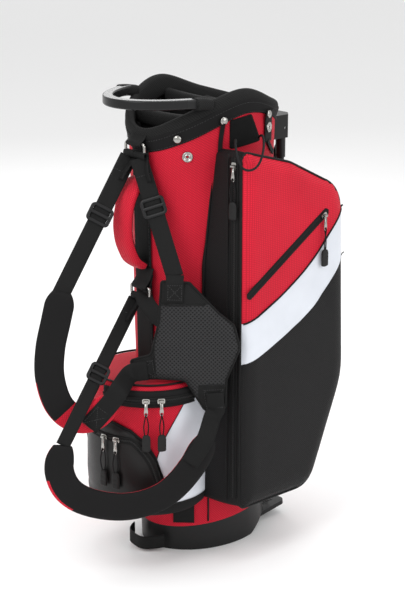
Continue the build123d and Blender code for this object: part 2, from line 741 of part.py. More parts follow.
def pouch_plane(face, z, angle):
    """Plane standing on a face of the pouch at a plan angle, its local y up."""
    a = radians(angle)
    place = (face * cos(a), pouch_axis_y + face * sin(a), z)
    return Plane(place, x_dir=(-sin(a), cos(a), 0), z_dir=(cos(a), sin(a), 0))


panel_heading = degrees(atan2(panel_zip_ends[1][1] - panel_zip_ends[0][1],
                              panel_zip_ends[1][0] - panel_zip_ends[0][0]))
slider_places = (
    ("garment", gusset_plane, (0, garment_zip_high - 8, 90)),
    ("panel", panel_plane, (panel_zip_ends[1][0] - 6,
                            panel_zip_ends[1][1] - 6 * tan(radians(panel_heading)),
                            panel_heading)),
    ("smile_front", pouch_plane(smile_face + seat, smile_zip_z, -44.0), (0, 0, 0)),
    ("smile_rear", pouch_plane(smile_face + seat, smile_zip_z, -31.0), (0, 0, 0)),
    ("ball_front", pouch_plane(ball_face + seat, ball_zip_z, -84.0), (0, 0, 0)),
    ("ball_rear", pouch_plane(ball_face + seat, ball_zip_z, -71.0), (0, 0, 0)),
)

# one half of a pull's cord: across, down from the hinge pin, out from the tape
cord_front = ((-2.2, 62.0, 5.6), (-4.4, 49.0, 7.4), (-3.4, 38.0, 8.0), (-1.4, 29.0, 7.7),
              (0.0, tab_hole_drop, 7.3))
cord_back = ((0.0, tab_hole_drop, 2.7), (1.4, 29.0, 2.6), (3.4, 38.0, 2.9),
             (4.4, 49.0, 3.4), (2.2, 62.0, 4.4))


def route_radii(route):
    """As large an arc at each corner as its two runs allow."""
    radii = []
    for before, corner, after in zip(route, route[1:], route[2:]):
        first = corner - before
        second = after - corner
        shorter = min(first.length, second.length)
        radii.append(0.45 * shorter / tan(radians(first.get_angle(second)) / 2))
    return radii


def cord_tube(route, radius):
    """Round cord along straight runs joined by tangent arcs."""
    radii = route_radii(route)
    with BuildPart() as cord:
        with BuildLine() as path:
            FilletPolyline(*route, radius=radii)
        with BuildSketch(Plane(route[0], z_dir=route[1] - route[0])):
            Circle(radius)
        sweep()
    section = pi * radius ** 2
    length = path.wires()[0].length
    print("cord length", round(length, 1), "volume ratio",
          round(cord.part.volume / (section * length), 4),
          "radii", [round(value, 1) for value in radii])
    return cord.part


for name, plane, (across, height, heading) in slider_places:
    spot = plane.from_local_coords(Vector(across, height, tape_thickness))
    slider_plane = Plane(spot, x_dir=plane.x_dir, z_dir=plane.z_dir)
    with BuildPart() as slider:
        with BuildSketch(slider_plane.offset(seat)):
            with Locations(Location((0, 0, 0), (0, 0, heading))):
                RectangleRounded(slider_length, slider_width, 2.5)
        extrude(amount=slider_thickness)
        for side in (-1, 1):
            cheek_x = side * (tab_width / 2 + gap + cheek_thickness / 2)
            with BuildSketch(slider_plane.offset(slider_thickness)):
                with Locations((cheek_x, 0)):
                    Rectangle(cheek_thickness, 3)
            extrude(amount=pull_pin_out + 1 - slider_thickness)
        pin_half = tab_width / 2 + gap + cheek_thickness / 2
        with BuildSketch(Plane(slider_plane.from_local_coords(Vector(-pin_half, 0,
                                                                     pull_pin_out)),
                               x_dir=slider_plane.z_dir, z_dir=slider_plane.x_dir)):
            Circle(pull_pin_radius)
        extrude(amount=2 * pin_half)
    finish(slider, f"{name}_zip_slider")

    with BuildPart() as pull:
        with BuildSketch(Plane(slider_plane.from_local_coords(Vector(-tab_width / 2, 0,
                                                                     pull_pin_out)),
                               x_dir=slider_plane.z_dir, z_dir=slider_plane.x_dir)):
            Circle(pull_eye_radius)
        extrude(amount=tab_width)
        with BuildSketch(slider_plane.offset(pull_pin_out - tab_thickness / 2)):
            with Locations((0, -tab_length / 2)):
                RectangleRounded(tab_width, tab_length, 2.8)
            with Locations((0, -tab_hole_drop)):
                Circle(tab_hole_radius, mode=Mode.SUBTRACT)
        extrude(amount=tab_thickness)
        with BuildSketch(Plane(slider_plane.from_local_coords(Vector(-tab_width, 0,
                                                                     pull_pin_out)),
                               x_dir=slider_plane.z_dir, z_dir=slider_plane.x_dir)):
            Circle(pull_pin_radius + gap)
        extrude(amount=2 * tab_width, mode=Mode.SUBTRACT)
        with BuildSketch(slider_plane.offset(pull_pin_out - grip_tag_thickness / 2)):
            with Locations((0, -grip_tag_top - grip_tag_length / 2)):
                RectangleRounded(grip_tag_width, grip_tag_length, 3.5)
        extrude(amount=grip_tag_thickness)
    finish(pull, f"{name}_zip_pull")

    route = [slider_plane.from_local_coords(Vector(x, -down, out))
             for x, down, out in cord_front + cord_back]
    with BuildPart() as pull_cord:
        add(cord_tube(route, cord_radius))
    finish(pull_cord, f"{name}_pull_cord")

# ---------------------------------------------------------------- elastic towel loop
towel_cord_radius = 2.0
towel_cord_route = [Vector(*point) for point in (
    (113.5, -27, 748), (127, -40, 757), (147, -60, 759), (168, -78, 752), (182, -87, 738),
    (189, -84, 723), (191, -70, 717), (190, -52, 719), (186, -37, 730), (176, -22, 745),
    (161, -7, 755), (142, 8, 759), (126, 19, 756), (114.5, 25, 749))]
with BuildPart() as towel_cord:
    add(cord_tube(towel_cord_route, towel_cord_radius))
finish(towel_cord, "towel_cord")

# ---------------------------------------------------------------- spine and harness
with BuildPart() as spine_block:
    with BuildSketch(Plane.XZ.offset(100)):
        with Locations((0, (pouch_top + 8 + seam_height - 30) / 2)):
            Rectangle(webbing_width + 6, seam_height - 30 - pouch_top - 8)
    extrude(amount=100)
with BuildPart() as spine_webbing:
    add(oval_solid(0, seam_height, webbing_thickness + seat, webbing_thickness + seat))
    add(body_outer_clear, mode=Mode.SUBTRACT)
    add(spine_block.part, mode=Mode.INTERSECT)
finish(spine_webbing, "spine_webbing")

handle_low = 540.0
handle_high = 678.0
handle_out = -186.0
handle_wall = 17.0
handle_half_width = 18.0
spine_face = -(half_y(handle_high) + webbing_thickness + 2 * seat)
with BuildPart() as grab_handle:
    with BuildSketch(Plane.YZ.offset(-handle_half_width)):
        with BuildLine():
            FilletPolyline((spine_face - 3, handle_low), (handle_out, handle_low + 46),
                           (handle_out, handle_high - 46), (spine_face - 3, handle_high),
                           radius=40)
        trace(line_width=handle_wall)
    extrude(amount=2 * handle_half_width)
    add(oval_solid(0, seam_height, webbing_thickness + 2 * seat, webbing_thickness + 2 * seat),
        mode=Mode.SUBTRACT)
handle_solid = grab_handle.solids().sort_by(SortBy.VOLUME)[-1]
with BuildPart() as grab_handle:
    add(handle_solid)
finish(grab_handle, "grab_handle")

ring_places = ((0.0, 738.0), (10.0, 490.0))
ring_half_width = 27.0
ring_half_height = 11.0
ring_y = -(half_y(seam_height) + webbing_thickness + seat + ring_wire + 8)
with BuildPart() as harness_rings:
    for x, z in ring_places:
        with BuildSketch(Plane.XZ.offset(-ring_y - ring_wire)):
            with Locations((x, z)):
                RectangleRounded(2 * ring_half_width, 2 * ring_half_height, 6)
                RectangleRounded(2 * (ring_half_width - 2 * ring_wire),
                                 2 * (ring_half_height - 2 * ring_wire), 3,
                                 mode=Mode.SUBTRACT)
        extrude(amount=2 * ring_wire)
finish(harness_rings, "harness_rings")

upper_strap_plane = upright_plane(-36.87, 195)
lower_strap_plane = upright_plane(-26.0, 197)
back_pad_plane = upright_plane(-45.0, 170)
upper_pad_line = ((-255, 500), (-271, 439), (-275, 377), (-256, 312), (-209, 289),
                  (-165, 330))
lower_pad_line = ((-299, 262), (-305, 207), (-263, 166), (-194, 142), (-123, 158),
                  (-74, 206), (-46, 262))
back_pad_outline = ((-60, 525), (-13, 523), (37, 470), (62, 450), (73, 409), (50, 352),
                    (48, 300), (13, 296), (-20, 350), (-68, 352), (-110, 350), (-113, 384),
                    (-78, 394), (-64, 457))

for label, plane, line in (("shoulder_pad_upper", upper_strap_plane, upper_pad_line),
                           ("shoulder_pad_lower", lower_strap_plane, lower_pad_line)):
    with BuildPart() as shoulder_pad:
        with BuildSketch(plane):
            with BuildLine():
                FilletPolyline(*line, radius=30)
            trace(line_width=shoulder_pad_width)
        extrude(amount=pad_thickness / 2, both=True)
    finish(shoulder_pad, label)

with BuildPart() as back_pad:
    with BuildSketch(back_pad_plane):
        with BuildLine():
            FilletPolyline(*back_pad_outline, radius=5, close=True)
        make_face()
    extrude(amount=back_pad_thickness)
finish(back_pad, "back_pad")


def webbing_plane(start, end, facing):
    """Plane at a webbing's start, running along it, its local x across the webbing."""
    run = (end - start).normalized()
    return Plane(start, x_dir=facing.cross(run).normalized(), z_dir=run)


facing_out = Vector(0.74, -0.67, 0)
top_ring = Vector(ring_places[0][0], ring_y, ring_places[0][1])
mid_ring = Vector(ring_places[1][0], ring_y, ring_places[1][1])
below_ring = Vector(0, 0, -ring_half_height - 2 * webbing_thickness)
upper_start = upper_strap_plane.from_local_coords(Vector(upper_pad_line[0][0],
                                                         upper_pad_line[0][1], 0))
lower_start = lower_strap_plane.from_local_coords(Vector(lower_pad_line[0][0],
                                                         lower_pad_line[0][1], 0))
pad_top = back_pad_plane.from_local_coords(Vector(-37, 524, back_pad_thickness / 2))
webbing_runs = (
    (top_ring + Vector(-12, -4, 0) + below_ring,
     upper_start + Vector(0, 0, 11), 30.0, 0.36),
    (top_ring + Vector(14, -4, 0) + below_ring,
     pad_top + Vector(0, 0, 9), 30.0, 0.33),
    (mid_ring + Vector(-8, -6, 0) + below_ring,
     lower_start + Vector(0, 0, 6), 24.0, 0.46),
)
with BuildPart() as harness_webbing:
    for start, end, width, _ in webbing_runs:
        with BuildSketch(webbing_plane(start, end, facing_out)):
            Rectangle(width, webbing_thickness)
        extrude(amount=(end - start).length)
finish(harness_webbing, "harness_webbing")

for number, (start, end, width, share) in enumerate(webbing_runs, start=1):
    buckle_plane = webbing_plane(start, end, facing_out).offset((end - start).length * share)
    with BuildPart() as buckle:
        with BuildSketch(buckle_plane):
            Rectangle(width + 2 * buckle_side, buckle_thickness)
            Rectangle(width + 2 * gap, webbing_thickness + 2 * gap, mode=Mode.SUBTRACT)
        extrude(amount=buckle_length)
    finish(buckle, f"slide_buckle_{number}")

# webbing umbrella loop round the foot of the spine: its corners in plan
umbrella_height = 24.0
umbrella_bottom = 6.0
umbrella_thickness = 2.4
umbrella_bend = 10.0
umbrella_seam_y = -(half_y(umbrella_bottom + umbrella_height) + 1)
umbrella_path = ((-44, umbrella_seam_y), (-26, -156), (14, -162), (38, umbrella_seam_y))
with BuildPart() as umbrella_loop:
    with BuildSketch(Plane.XY.offset(umbrella_bottom)):
        with BuildLine():
            FilletPolyline(*umbrella_path, radius=umbrella_bend)
        trace(line_width=umbrella_thickness)
    extrude(amount=umbrella_height)
    add(oval_solid(0, 60, 1, 1), mode=Mode.SUBTRACT)
loop_solid = umbrella_loop.solids().sort_by(SortBy.VOLUME)[-1]
with BuildPart() as umbrella_loop:
    add(loop_solid)
finish(umbrella_loop, "umbrella_loop")
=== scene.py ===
from math import atan2, cos, degrees, hypot, pi, radians, sin, sqrt, tan

import bmesh
import bpy
import numpy as np
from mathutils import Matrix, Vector, noise
from mathutils.geometry import delaunay_2d_cdt


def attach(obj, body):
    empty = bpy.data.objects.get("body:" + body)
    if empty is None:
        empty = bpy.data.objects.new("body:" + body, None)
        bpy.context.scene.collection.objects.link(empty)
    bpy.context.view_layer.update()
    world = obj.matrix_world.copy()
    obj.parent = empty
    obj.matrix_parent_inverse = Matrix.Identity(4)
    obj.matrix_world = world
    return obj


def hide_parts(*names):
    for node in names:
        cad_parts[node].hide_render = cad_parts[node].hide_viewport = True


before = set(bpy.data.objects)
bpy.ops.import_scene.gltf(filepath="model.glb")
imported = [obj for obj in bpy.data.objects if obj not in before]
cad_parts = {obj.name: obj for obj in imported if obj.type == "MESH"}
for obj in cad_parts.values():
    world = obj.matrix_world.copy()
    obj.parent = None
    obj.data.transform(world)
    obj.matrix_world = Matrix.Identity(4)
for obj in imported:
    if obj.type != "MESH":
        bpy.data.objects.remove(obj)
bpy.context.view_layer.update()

# Lengths are in millimetres up to the point where a mesh or a curve is made.
MM = 0.001

# ---------------------------------------------------------------- sizes shared with the CAD
base_half_x, base_half_y = 98.0, 126.0        # body oval at the floor
top_half_x, top_half_y = 109.0, 140.0         # and at the seam height
seam_height = 760.0
sleeve_wall = 3.0
collar_inner = (99.0, 130.0)
hem_line = ((-170, 718), (-108, 756), (-10, 798), (60, 790), (170, 742))
rim_line = ((-170, 742), (-106, 799), (-10, 836), (80, 809), (170, 779))
divider_places = ((-88.0, 796.0), (6.0, 812.0), (76.0, 794.0))
pouch_centre = Vector((0, -124, 0))
pouch_bottom = 96.0
smile_face, smile_z = 112.0, 319.0
ball_face, ball_z = 114.0, 244.0
shoulder_x, face_x, root_x = 162.0, 178.0, 70.0
pocket_outline = ((-60, 743), (52, 711), (178, 648), (192, 300), (112, 103), (-60, 103))
pocket_radii = (12, 90, 62, 150, 45, 14)
root_outline = ((-82, 738), (20, 716), (96, 665), (104, 300), (64, 110), (-82, 106))
root_radii = (8, 50, 34, 80, 24, 8)
ring_y = -152.7


def half_x(z):
    """Body oval's half-axis across the bag at a height."""
    return base_half_x + (top_half_x - base_half_x) * z / seam_height


def half_y(z):
    """Body oval's half-axis from spine to legs at a height."""
    return base_half_y + (top_half_y - base_half_y) * z / seam_height


def skin(angle, z, out=0.0):
    """Point on the body's skin at an eccentric angle in degrees and a height."""
    a = radians(angle)
    normal = Vector((cos(a) / half_x(z), sin(a) / half_y(z), 0)).normalized()
    return Vector((half_x(z) * cos(a), half_y(z) * sin(a), z)) + normal * out


def cup_mouth(y):
    """Height of the base cup's sloping mouth."""
    return 46 + 20 * (y + base_half_y) / (2 * base_half_y)


def line_z(points, y):
    """Height of a smooth line through (y, z) points."""
    ys = [p[0] for p in points]
    zs = [p[1] for p in points]
    n = len(points)
    slope = []
    for i in range(n):
        lo, hi = max(i - 1, 0), min(i + 1, n - 1)
        slope.append((zs[hi] - zs[lo]) / (ys[hi] - ys[lo]))
    y = min(max(y, ys[0]), ys[-1])
    i = max(k for k in range(n - 1) if ys[k] <= y)
    run = ys[i + 1] - ys[i]
    t = (y - ys[i]) / run
    return ((2 * t ** 3 - 3 * t ** 2 + 1) * zs[i] + (t ** 3 - 2 * t ** 2 + t) * run * slope[i]
            + (3 * t ** 2 - 2 * t ** 3) * zs[i + 1] + (t ** 3 - t ** 2) * run * slope[i + 1])


def soft_noise(point, size, seed=0.0):
    """Smooth noise from -1 to 1 with features of a size."""
    return noise.noise(Vector(point) / size + Vector((seed, seed * 1.7, seed * 0.3)))


def squared(value, power):
    """Sine or cosine flattened toward a square section, its sign kept."""
    return abs(value) ** power * (1 if value > 0 else -1)


def round_over(gap, reach):
    """Quarter-round rise from 0 to 1 over the distance from an edge."""
    return sqrt(max(1 - (1 - min(gap / reach, 1)) ** 2, 0))


# ---------------------------------------------------------------- materials
def node(tree, kind, inputs=None, **settings):
    """Add a shader node, setting or linking its inputs."""
    made = tree.nodes.new("ShaderNode" + kind)
    for key, value in settings.items():
        setattr(made, key, value)
    for key, value in (inputs or {}).items():
        if isinstance(value, bpy.types.NodeSocket):
            tree.links.new(value, made.inputs[key])
        else:
            made.inputs[key].default_value = value
    return made


def maths(tree, operation, first, second=0.0):
    """Result of a maths node."""
    return node(tree, "Math", {0: first, 1: second}, operation=operation).outputs[0]


def blank(name):
    """New node material: (material, tree, shader)."""
    made = bpy.data.materials.new(name)
    made.use_nodes = True
    return made, made.node_tree, made.node_tree.nodes["Principled BSDF"]


def rgba(colour, scale=1.0):
    """Colour with its brightness scaled."""
    return tuple(min(c * scale, 1.0) for c in colour) + (1.0,)


def weave_height(tree, pattern, period):
    """Height from 0 to 1 of a weave, worked out from the piece's own map in millimetres."""
    place = node(tree, "SeparateXYZ", {0: node(tree, "TexCoord").outputs["UV"]})
    u, v = place.outputs[0], place.outputs[1]

    def wave(value, length):
        return maths(tree, "ABSOLUTE", maths(
            tree, "SINE", maths(tree, "MULTIPLY", value, pi / length)))

    plus, minus = maths(tree, "ADD", u, v), maths(tree, "SUBTRACT", u, v)
    if pattern == "honeycomb":
        return maths(tree, "MINIMUM", wave(plus, period), wave(minus, period))
    if pattern == "grid":
        return maths(tree, "MINIMUM", wave(u, period * 1.3), wave(v, period))
    if pattern == "mesh":
        holes = maths(tree, "MULTIPLY", wave(plus, period), wave(minus, period))
        return maths(tree, "SUBTRACT", 1.0, maths(tree, "MULTIPLY", holes, holes))
    if pattern == "rib":
        return maths(tree, "ADD", maths(tree, "MULTIPLY", wave(v, period), 0.7),
                     maths(tree, "MULTIPLY", wave(plus, period * 1.7), 0.3))
    return wave(plus, period)


def fabric(name, colour, pattern, period, depth, rough, dark=0.62, sheen=0.0, light=1.1):
    """Woven cloth: weave, thread noise, slow colour variation and sheen."""
    made, tree, shader = blank(name)
    spot = node(tree, "TexCoord").outputs["Object"]
    weave = weave_height(tree, pattern, period)
    thread = node(tree, "TexNoise", {"Vector": spot, "Scale": 900.0, "Detail": 2.0})
    slow = node(tree, "TexNoise", {"Vector": spot, "Scale": 9.0, "Detail": 3.0})
    height = maths(tree, "ADD", weave, maths(tree, "MULTIPLY", thread.outputs[0], 0.35))
    mixed = node(tree, "Mix", {0: weave, 6: rgba(colour, dark), 7: rgba(colour, light)},
                 data_type="RGBA")
    shade = node(tree, "ValToRGB", {0: slow.outputs[0]})
    shade.color_ramp.elements[0].position = 0.3
    shade.color_ramp.elements[0].color = (0.86, 0.86, 0.86, 1)
    shade.color_ramp.elements[1].position = 0.7
    shade.color_ramp.elements[1].color = (1, 1, 1, 1)
    worn = node(tree, "Mix", {0: 1.0, 6: mixed.outputs[2], 7: shade.outputs[0]},
                data_type="RGBA", blend_type="MULTIPLY")
    tree.links.new(worn.outputs[2], shader.inputs["Base Color"])
    gloss = node(tree, "MapRange", {0: weave, 3: min(rough + 0.12, 1.0), 4: rough})
    tree.links.new(gloss.outputs[0], shader.inputs["Roughness"])
    bump = node(tree, "Bump", {"Strength": 0.7, "Distance": depth * MM, "Height": height})
    tree.links.new(bump.outputs[0], shader.inputs["Normal"])
    shader.inputs["Specular IOR Level"].default_value = 0.18
    if sheen:
        shader.inputs["Sheen Weight"].default_value = sheen
        shader.inputs["Sheen Roughness"].default_value = 0.4
    return made


def moulded(name, colour, rough, grain, depth, metallic=0.0, spread=0.12, light=1.15):
    """Moulded plastic, rubber, leather-like or plated surface with a fine grain and scuffs."""
    made, tree, shader = blank(name)
    spot = node(tree, "TexCoord").outputs["Object"]
    fine = node(tree, "TexVoronoi", {"Vector": spot, "Scale": grain})
    slow = node(tree, "TexNoise", {"Vector": spot, "Scale": 22.0, "Detail": 4.0})
    mixed = node(tree, "Mix", {0: slow.outputs[0], 6: rgba(colour, 0.8),
                               7: rgba(colour, light)}, data_type="RGBA")
    tree.links.new(mixed.outputs[2], shader.inputs["Base Color"])
    gloss = node(tree, "MapRange", {0: slow.outputs[0], 3: max(rough - spread, 0.05),
                                    4: rough + spread})
    tree.links.new(gloss.outputs[0], shader.inputs["Roughness"])
    bump = node(tree, "Bump", {"Strength": 0.5, "Distance": depth * MM,
                               "Height": fine.outputs["Distance"]})
    tree.links.new(bump.outputs[0], shader.inputs["Normal"])
    shader.inputs["Metallic"].default_value = metallic
    shader.inputs["Specular IOR Level"].default_value = 0.5 if metallic else 0.28
    return made


RED = (0.66, 0.012, 0.035)
BLACK = (0.0065, 0.0062, 0.0065)
red_body = fabric("red_honeycomb", RED, "honeycomb", 4.4, 0.5, 0.62, dark=0.55, sheen=0.03)
red_front = fabric("red_grid", RED, "grid", 3.2, 0.4, 0.6, dark=0.6, sheen=0.03)
black_body = fabric("black_honeycomb", BLACK, "honeycomb", 4.0, 0.6, 0.5, dark=0.45,
                    light=1.7)
black_plain = fabric("black_lining", BLACK, "rib", 1.4, 0.15, 0.7, dark=0.7)
webbing = fabric("webbing", (0.0055, 0.0055, 0.0055), "rib", 1.5, 0.35, 0.62, dark=0.5, light=1.4)
air_mesh = fabric("air_mesh", (0.0095, 0.0095, 0.0095), "mesh", 4.2, 1.2, 0.75, dark=0.15,
                  light=1.6)
pad_mesh = fabric("pad_mesh", (0.015, 0.015, 0.0155), "mesh", 7.0, 1.8, 0.6, dark=0.12,
                  light=2.0)
arm_cloth = fabric("pad_arm_cloth", (0.009, 0.009, 0.009), "twill", 3.0, 0.8, 0.75, dark=0.4,
                   light=1.5)
white_cloth = fabric("white_coated", (0.74, 0.77, 0.83), "rib", 1.2, 0.1, 0.45, dark=0.93,
                     light=1.0)
velour = fabric("loop_patch", (0.006, 0.006, 0.006), "twill", 1.1, 0.3, 0.95, dark=0.7)
leather = moulded("leather_like", (0.005, 0.0048, 0.0048), 0.42, 700.0, 0.25)
cord_black = fabric("cord_braid", (0.005, 0.005, 0.0055), "twill", 1.2, 0.3, 0.6, dark=0.5,
                    light=1.5)
piping = fabric("piping", (0.005, 0.005, 0.005), "rib", 1.3, 0.2, 0.45, dark=0.7, light=1.3)
black_plastic = moulded("black_plastic", (0.008, 0.008, 0.0085), 0.38, 900.0, 0.08)
cup_plastic = moulded("cup_plastic", (0.007, 0.007, 0.0072), 0.42, 1100.0, 0.12)
grip_plastic = moulded("grip_plastic", (0.01, 0.01, 0.0105), 0.26, 1200.0, 0.06)
rubber = moulded("rubber", (0.009, 0.009, 0.009), 0.62, 800.0, 0.15)
tube_black = moulded("tube_black", (0.01, 0.01, 0.0105), 0.3, 1500.0, 0.02)
nickel = moulded("nickel", (0.4, 0.39, 0.37), 0.24, 600.0, 0.03, metallic=1.0, spread=0.08)
steel = moulded("spring_steel", (0.42, 0.42, 0.43), 0.34, 900.0, 0.02, metallic=1.0)
coil_black = moulded("zip_teeth", (0.01, 0.01, 0.01), 0.34, 900.0, 0.02)
thread_grey = moulded("stitching", (0.035, 0.035, 0.036), 0.6, 1500.0, 0.05)
thread_red = moulded("red_stitching", (0.45, 0.01, 0.025), 0.6, 1500.0, 0.05)

for name, made in (
        ("base_cup", cup_plastic), ("base_lever", cup_plastic), ("lever_pin", steel),
        ("top_handle", grip_plastic), ("collar_frame", black_plastic),
        ("leg_tube_left", tube_black),
        ("leg_tube_right", tube_black), ("leg_foot_left", rubber), ("leg_foot_right", rubber),
        ("leg_knuckle_left", black_plastic), ("leg_knuckle_right", black_plastic),
        ("link_left", steel), ("link_right", steel), ("actuator_rod", steel),
        ("leg_bracket", black_plastic), ("leg_pivot_pins", steel),
        ("rod_guides", black_plastic)):
    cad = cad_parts[name]
    cad.data.materials.clear()
    cad.data.materials.append(made)
for zip_name in ("garment", "panel", "smile_front", "smile_rear", "ball_front", "ball_rear"):
    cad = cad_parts[zip_name + "_zip_slider"]
    cad.data.materials.clear()
    cad.data.materials.append(nickel)


# ---------------------------------------------------------------- mesh building
def piece(name, verts, faces, maps, made, body="root", nodes=(), slot=None, picks=None,
          smooth=True):
    """Mesh object from points in millimetres, riding on a body."""
    mesh = bpy.data.meshes.new(name)
    mesh.from_pydata([tuple(c * MM for c in v) for v in verts], [], faces)
    layer = mesh.uv_layers.new(name="weave")
    corner = 0
    for row in maps:
        for place in row:
            layer.data[corner].uv = place
            corner += 1
    for one in (made if isinstance(made, (list, tuple)) else [made]):
        mesh.materials.append(one)
    if picks:
        mesh.polygons.foreach_set("material_index", picks)
    mesh.polygons.foreach_set("use_smooth", [smooth] * len(mesh.polygons))
    mesh.update()
    obj = bpy.data.objects.new(name, mesh)
    bpy.context.scene.collection.objects.link(obj)
    if body:
        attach(obj, body)
    if nodes:
        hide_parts(*nodes)
    return obj


def grid(rows, wrap_rows=False, wrap_columns=False, pick=None, caps=False):
    """Surface through rows of points: (points, faces, maps, picks)."""
    count, width = len(rows), len(rows[0])
    verts = [p for row in rows for p in row]
    middle = rows[count // 2]
    across = [0.0]
    for j in range(width):
        across.append(across[-1] + (Vector(middle[(j + 1) % width]) - Vector(middle[j])).length)
    along = [0.0]
    for i in range(count):
        step = [(Vector(rows[(i + 1) % count][j]) - Vector(rows[i][j])).length
                for j in range(0, width, max(1, width // 8))]
        along.append(along[-1] + sum(step) / len(step))
    faces, maps, picks = [], [], []
    for i in range(count if wrap_rows else count - 1):
        for j in range(width if wrap_columns else width - 1):
            a, b = i * width + j, i * width + (j + 1) % width
            c, d = ((i + 1) % count) * width + (j + 1) % width, ((i + 1) % count) * width + j
            faces.append((a, b, c, d))
            maps.append([(across[j], along[i]), (across[j + 1], along[i]),
                         (across[j + 1], along[i + 1]), (across[j], along[i + 1])])
            picks.append(pick(i, j) if pick else 0)
    if caps:
        for start, turn in ((0, -1), ((count - 1) * width, 1)):
            ring = [start + j for j in range(width)][::turn]
            faces.append(tuple(ring))
            maps.append([(across[j], 0.0) for j in range(width)])
            picks.append(pick(0, width // 4) if pick else 0)
    return verts, faces, maps, picks


def smooth_line(points, step=6.0, closed=False):
    """Points about a step apart on a smooth curve through given ones."""
    points = [Vector(p) for p in points]
    n = len(points)
    made = []
    for i in range(n if closed else n - 1):
        p1, p2 = points[i], points[(i + 1) % n]
        p0 = points[i - 1] if closed or i else p1 + (p1 - p2)
        p3 = points[(i + 2) % n] if closed or i + 2 < n else p2 + (p2 - p1)
        pieces = max(2, round((p2 - p1).length / step))
        for k in range(pieces):
            t = k / pieces
            made.append(0.5 * (2 * p1 + (p2 - p0) * t + (2 * p0 - 5 * p1 + 4 * p2 - p3) * t * t
                               + (3 * p1 - p0 - 3 * p2 + p3) * t ** 3))
    if not closed:
        made.append(points[-1])
    return made


def tangents(points, closed=False):
    """Unit direction of a line at each of its points."""
    n = len(points)
    made = []
    for i in range(n):
        a = points[i - 1] if closed or i else points[i]
        b = points[(i + 1) % n] if closed or i + 1 < n else points[i]
        made.append((b - a).normalized())
    return made


def strap(name, points, out, width, thickness, made, puff=0.0, pick=None, body="root",
          nodes=(), slot=None, taper=0.0):
    """Flat webbing or padded strap along a line; its face looks out."""
    count = len(points)
    ways = tangents(points)
    if isinstance(out, Vector):
        out = [out] * count
    half = thickness / 2
    if puff:
        section = []
        for k in range(24):
            a = 2 * pi * k / 24
            section.append((squared(cos(a), 0.55), squared(sin(a), 0.8)))
    else:
        section = [(-1, -0.4), (-1, 0.4), (-0.96, 1), (-0.5, 1), (0, 1), (0.5, 1), (0.96, 1),
                   (1, 0.4), (1, -0.4), (0.96, -1), (0.5, -1), (0, -1), (-0.5, -1), (-0.96, -1)]
    rows = []
    for i, (p, way, face) in enumerate(zip(points, ways, out)):
        side = way.cross(face).normalized()
        up = side.cross(way).normalized()
        wide = (width[i] if isinstance(width, list) else width) / 2
        ends = min(i, count - 1 - i) / max(count - 1, 1)
        near = 1 - taper * max(0.0, 1 - ends * 12) ** 2
        crease = 1 + (0.13 * soft_noise(p, 26, 7) if puff else 0.0)
        rows.append([p + side * (a * wide * near) + up * (b * half * near * crease)
                     for a, b in section])
    verts, faces, maps, picks = grid(rows, wrap_columns=True, pick=pick, caps=True)
    maps = [[(v[1], v[0]) if puff else v for v in row] for row in maps]
    return piece(name, verts, faces, maps, made, body, nodes, slot, picks)


def tube(name, points, radius, made, closed=False, body="root", sides=10):
    """Round tube along a line, for piping, thread and wire."""
    ways = tangents(points, closed)
    up = ways[0].orthogonal().normalized()
    rows = []
    for p, way in zip(points, ways):
        up = (up - way * up.dot(way)).normalized()
        side = way.cross(up)
        rows.append([p + (up * cos(2 * pi * k / sides) + side * sin(2 * pi * k / sides)) * radius
                     for k in range(sides)])
    verts, faces, maps, picks = grid(rows, wrap_rows=closed, wrap_columns=True,
                                     caps=not closed)
    return piece(name, verts, faces, maps, made, body, picks=picks)


def rounded(points, radii, per_edge):
    """Points round a closed outline with filleted corners, the same number on each edge."""
    made = []
    n = len(points)
    for i in range(n):
        corner = Vector(points[i])
        a = (Vector(points[i - 1]) - corner).normalized()
        b = (Vector(points[(i + 1) % n]) - corner).normalized()
        half = a.angle(b) / 2
        centre = corner + (a + b).normalized() * (radii[i] / sin(half))
        s = corner + a * (radii[i] / tan(half)) - centre
        e = corner + b * (radii[i] / tan(half)) - centre
        turn = s.angle(e)
        arc = [centre + (s * sin((1 - k / 10) * turn) + e * sin(k / 10 * turn)) / sin(turn)
               for k in range(11)]
        if made:
            last = made[-1]
            made += [last.lerp(arc[0], k / per_edge[i - 1]) for k in range(1, per_edge[i - 1])]
        made += arc
    last, first = made[-1], made[0]
    return made + [last.lerp(first, k / per_edge[-1]) for k in range(1, per_edge[-1])]


def edge_distance(point, outline):
    """Distance from a 2D point to a closed outline."""
    best = 1e9
    px, py = point
    for (ax, ay), (bx, by) in zip(outline, outline[1:] + outline[:1]):
        dx, dy = bx - ax, by - ay
        t = ((px - ax) * dx + (py - ay) * dy) / max(dx * dx + dy * dy, 1e-9)
        t = min(max(t, 0.0), 1.0)
        best = min(best, hypot(px - ax - dx * t, py - ay - dy * t))
    return best


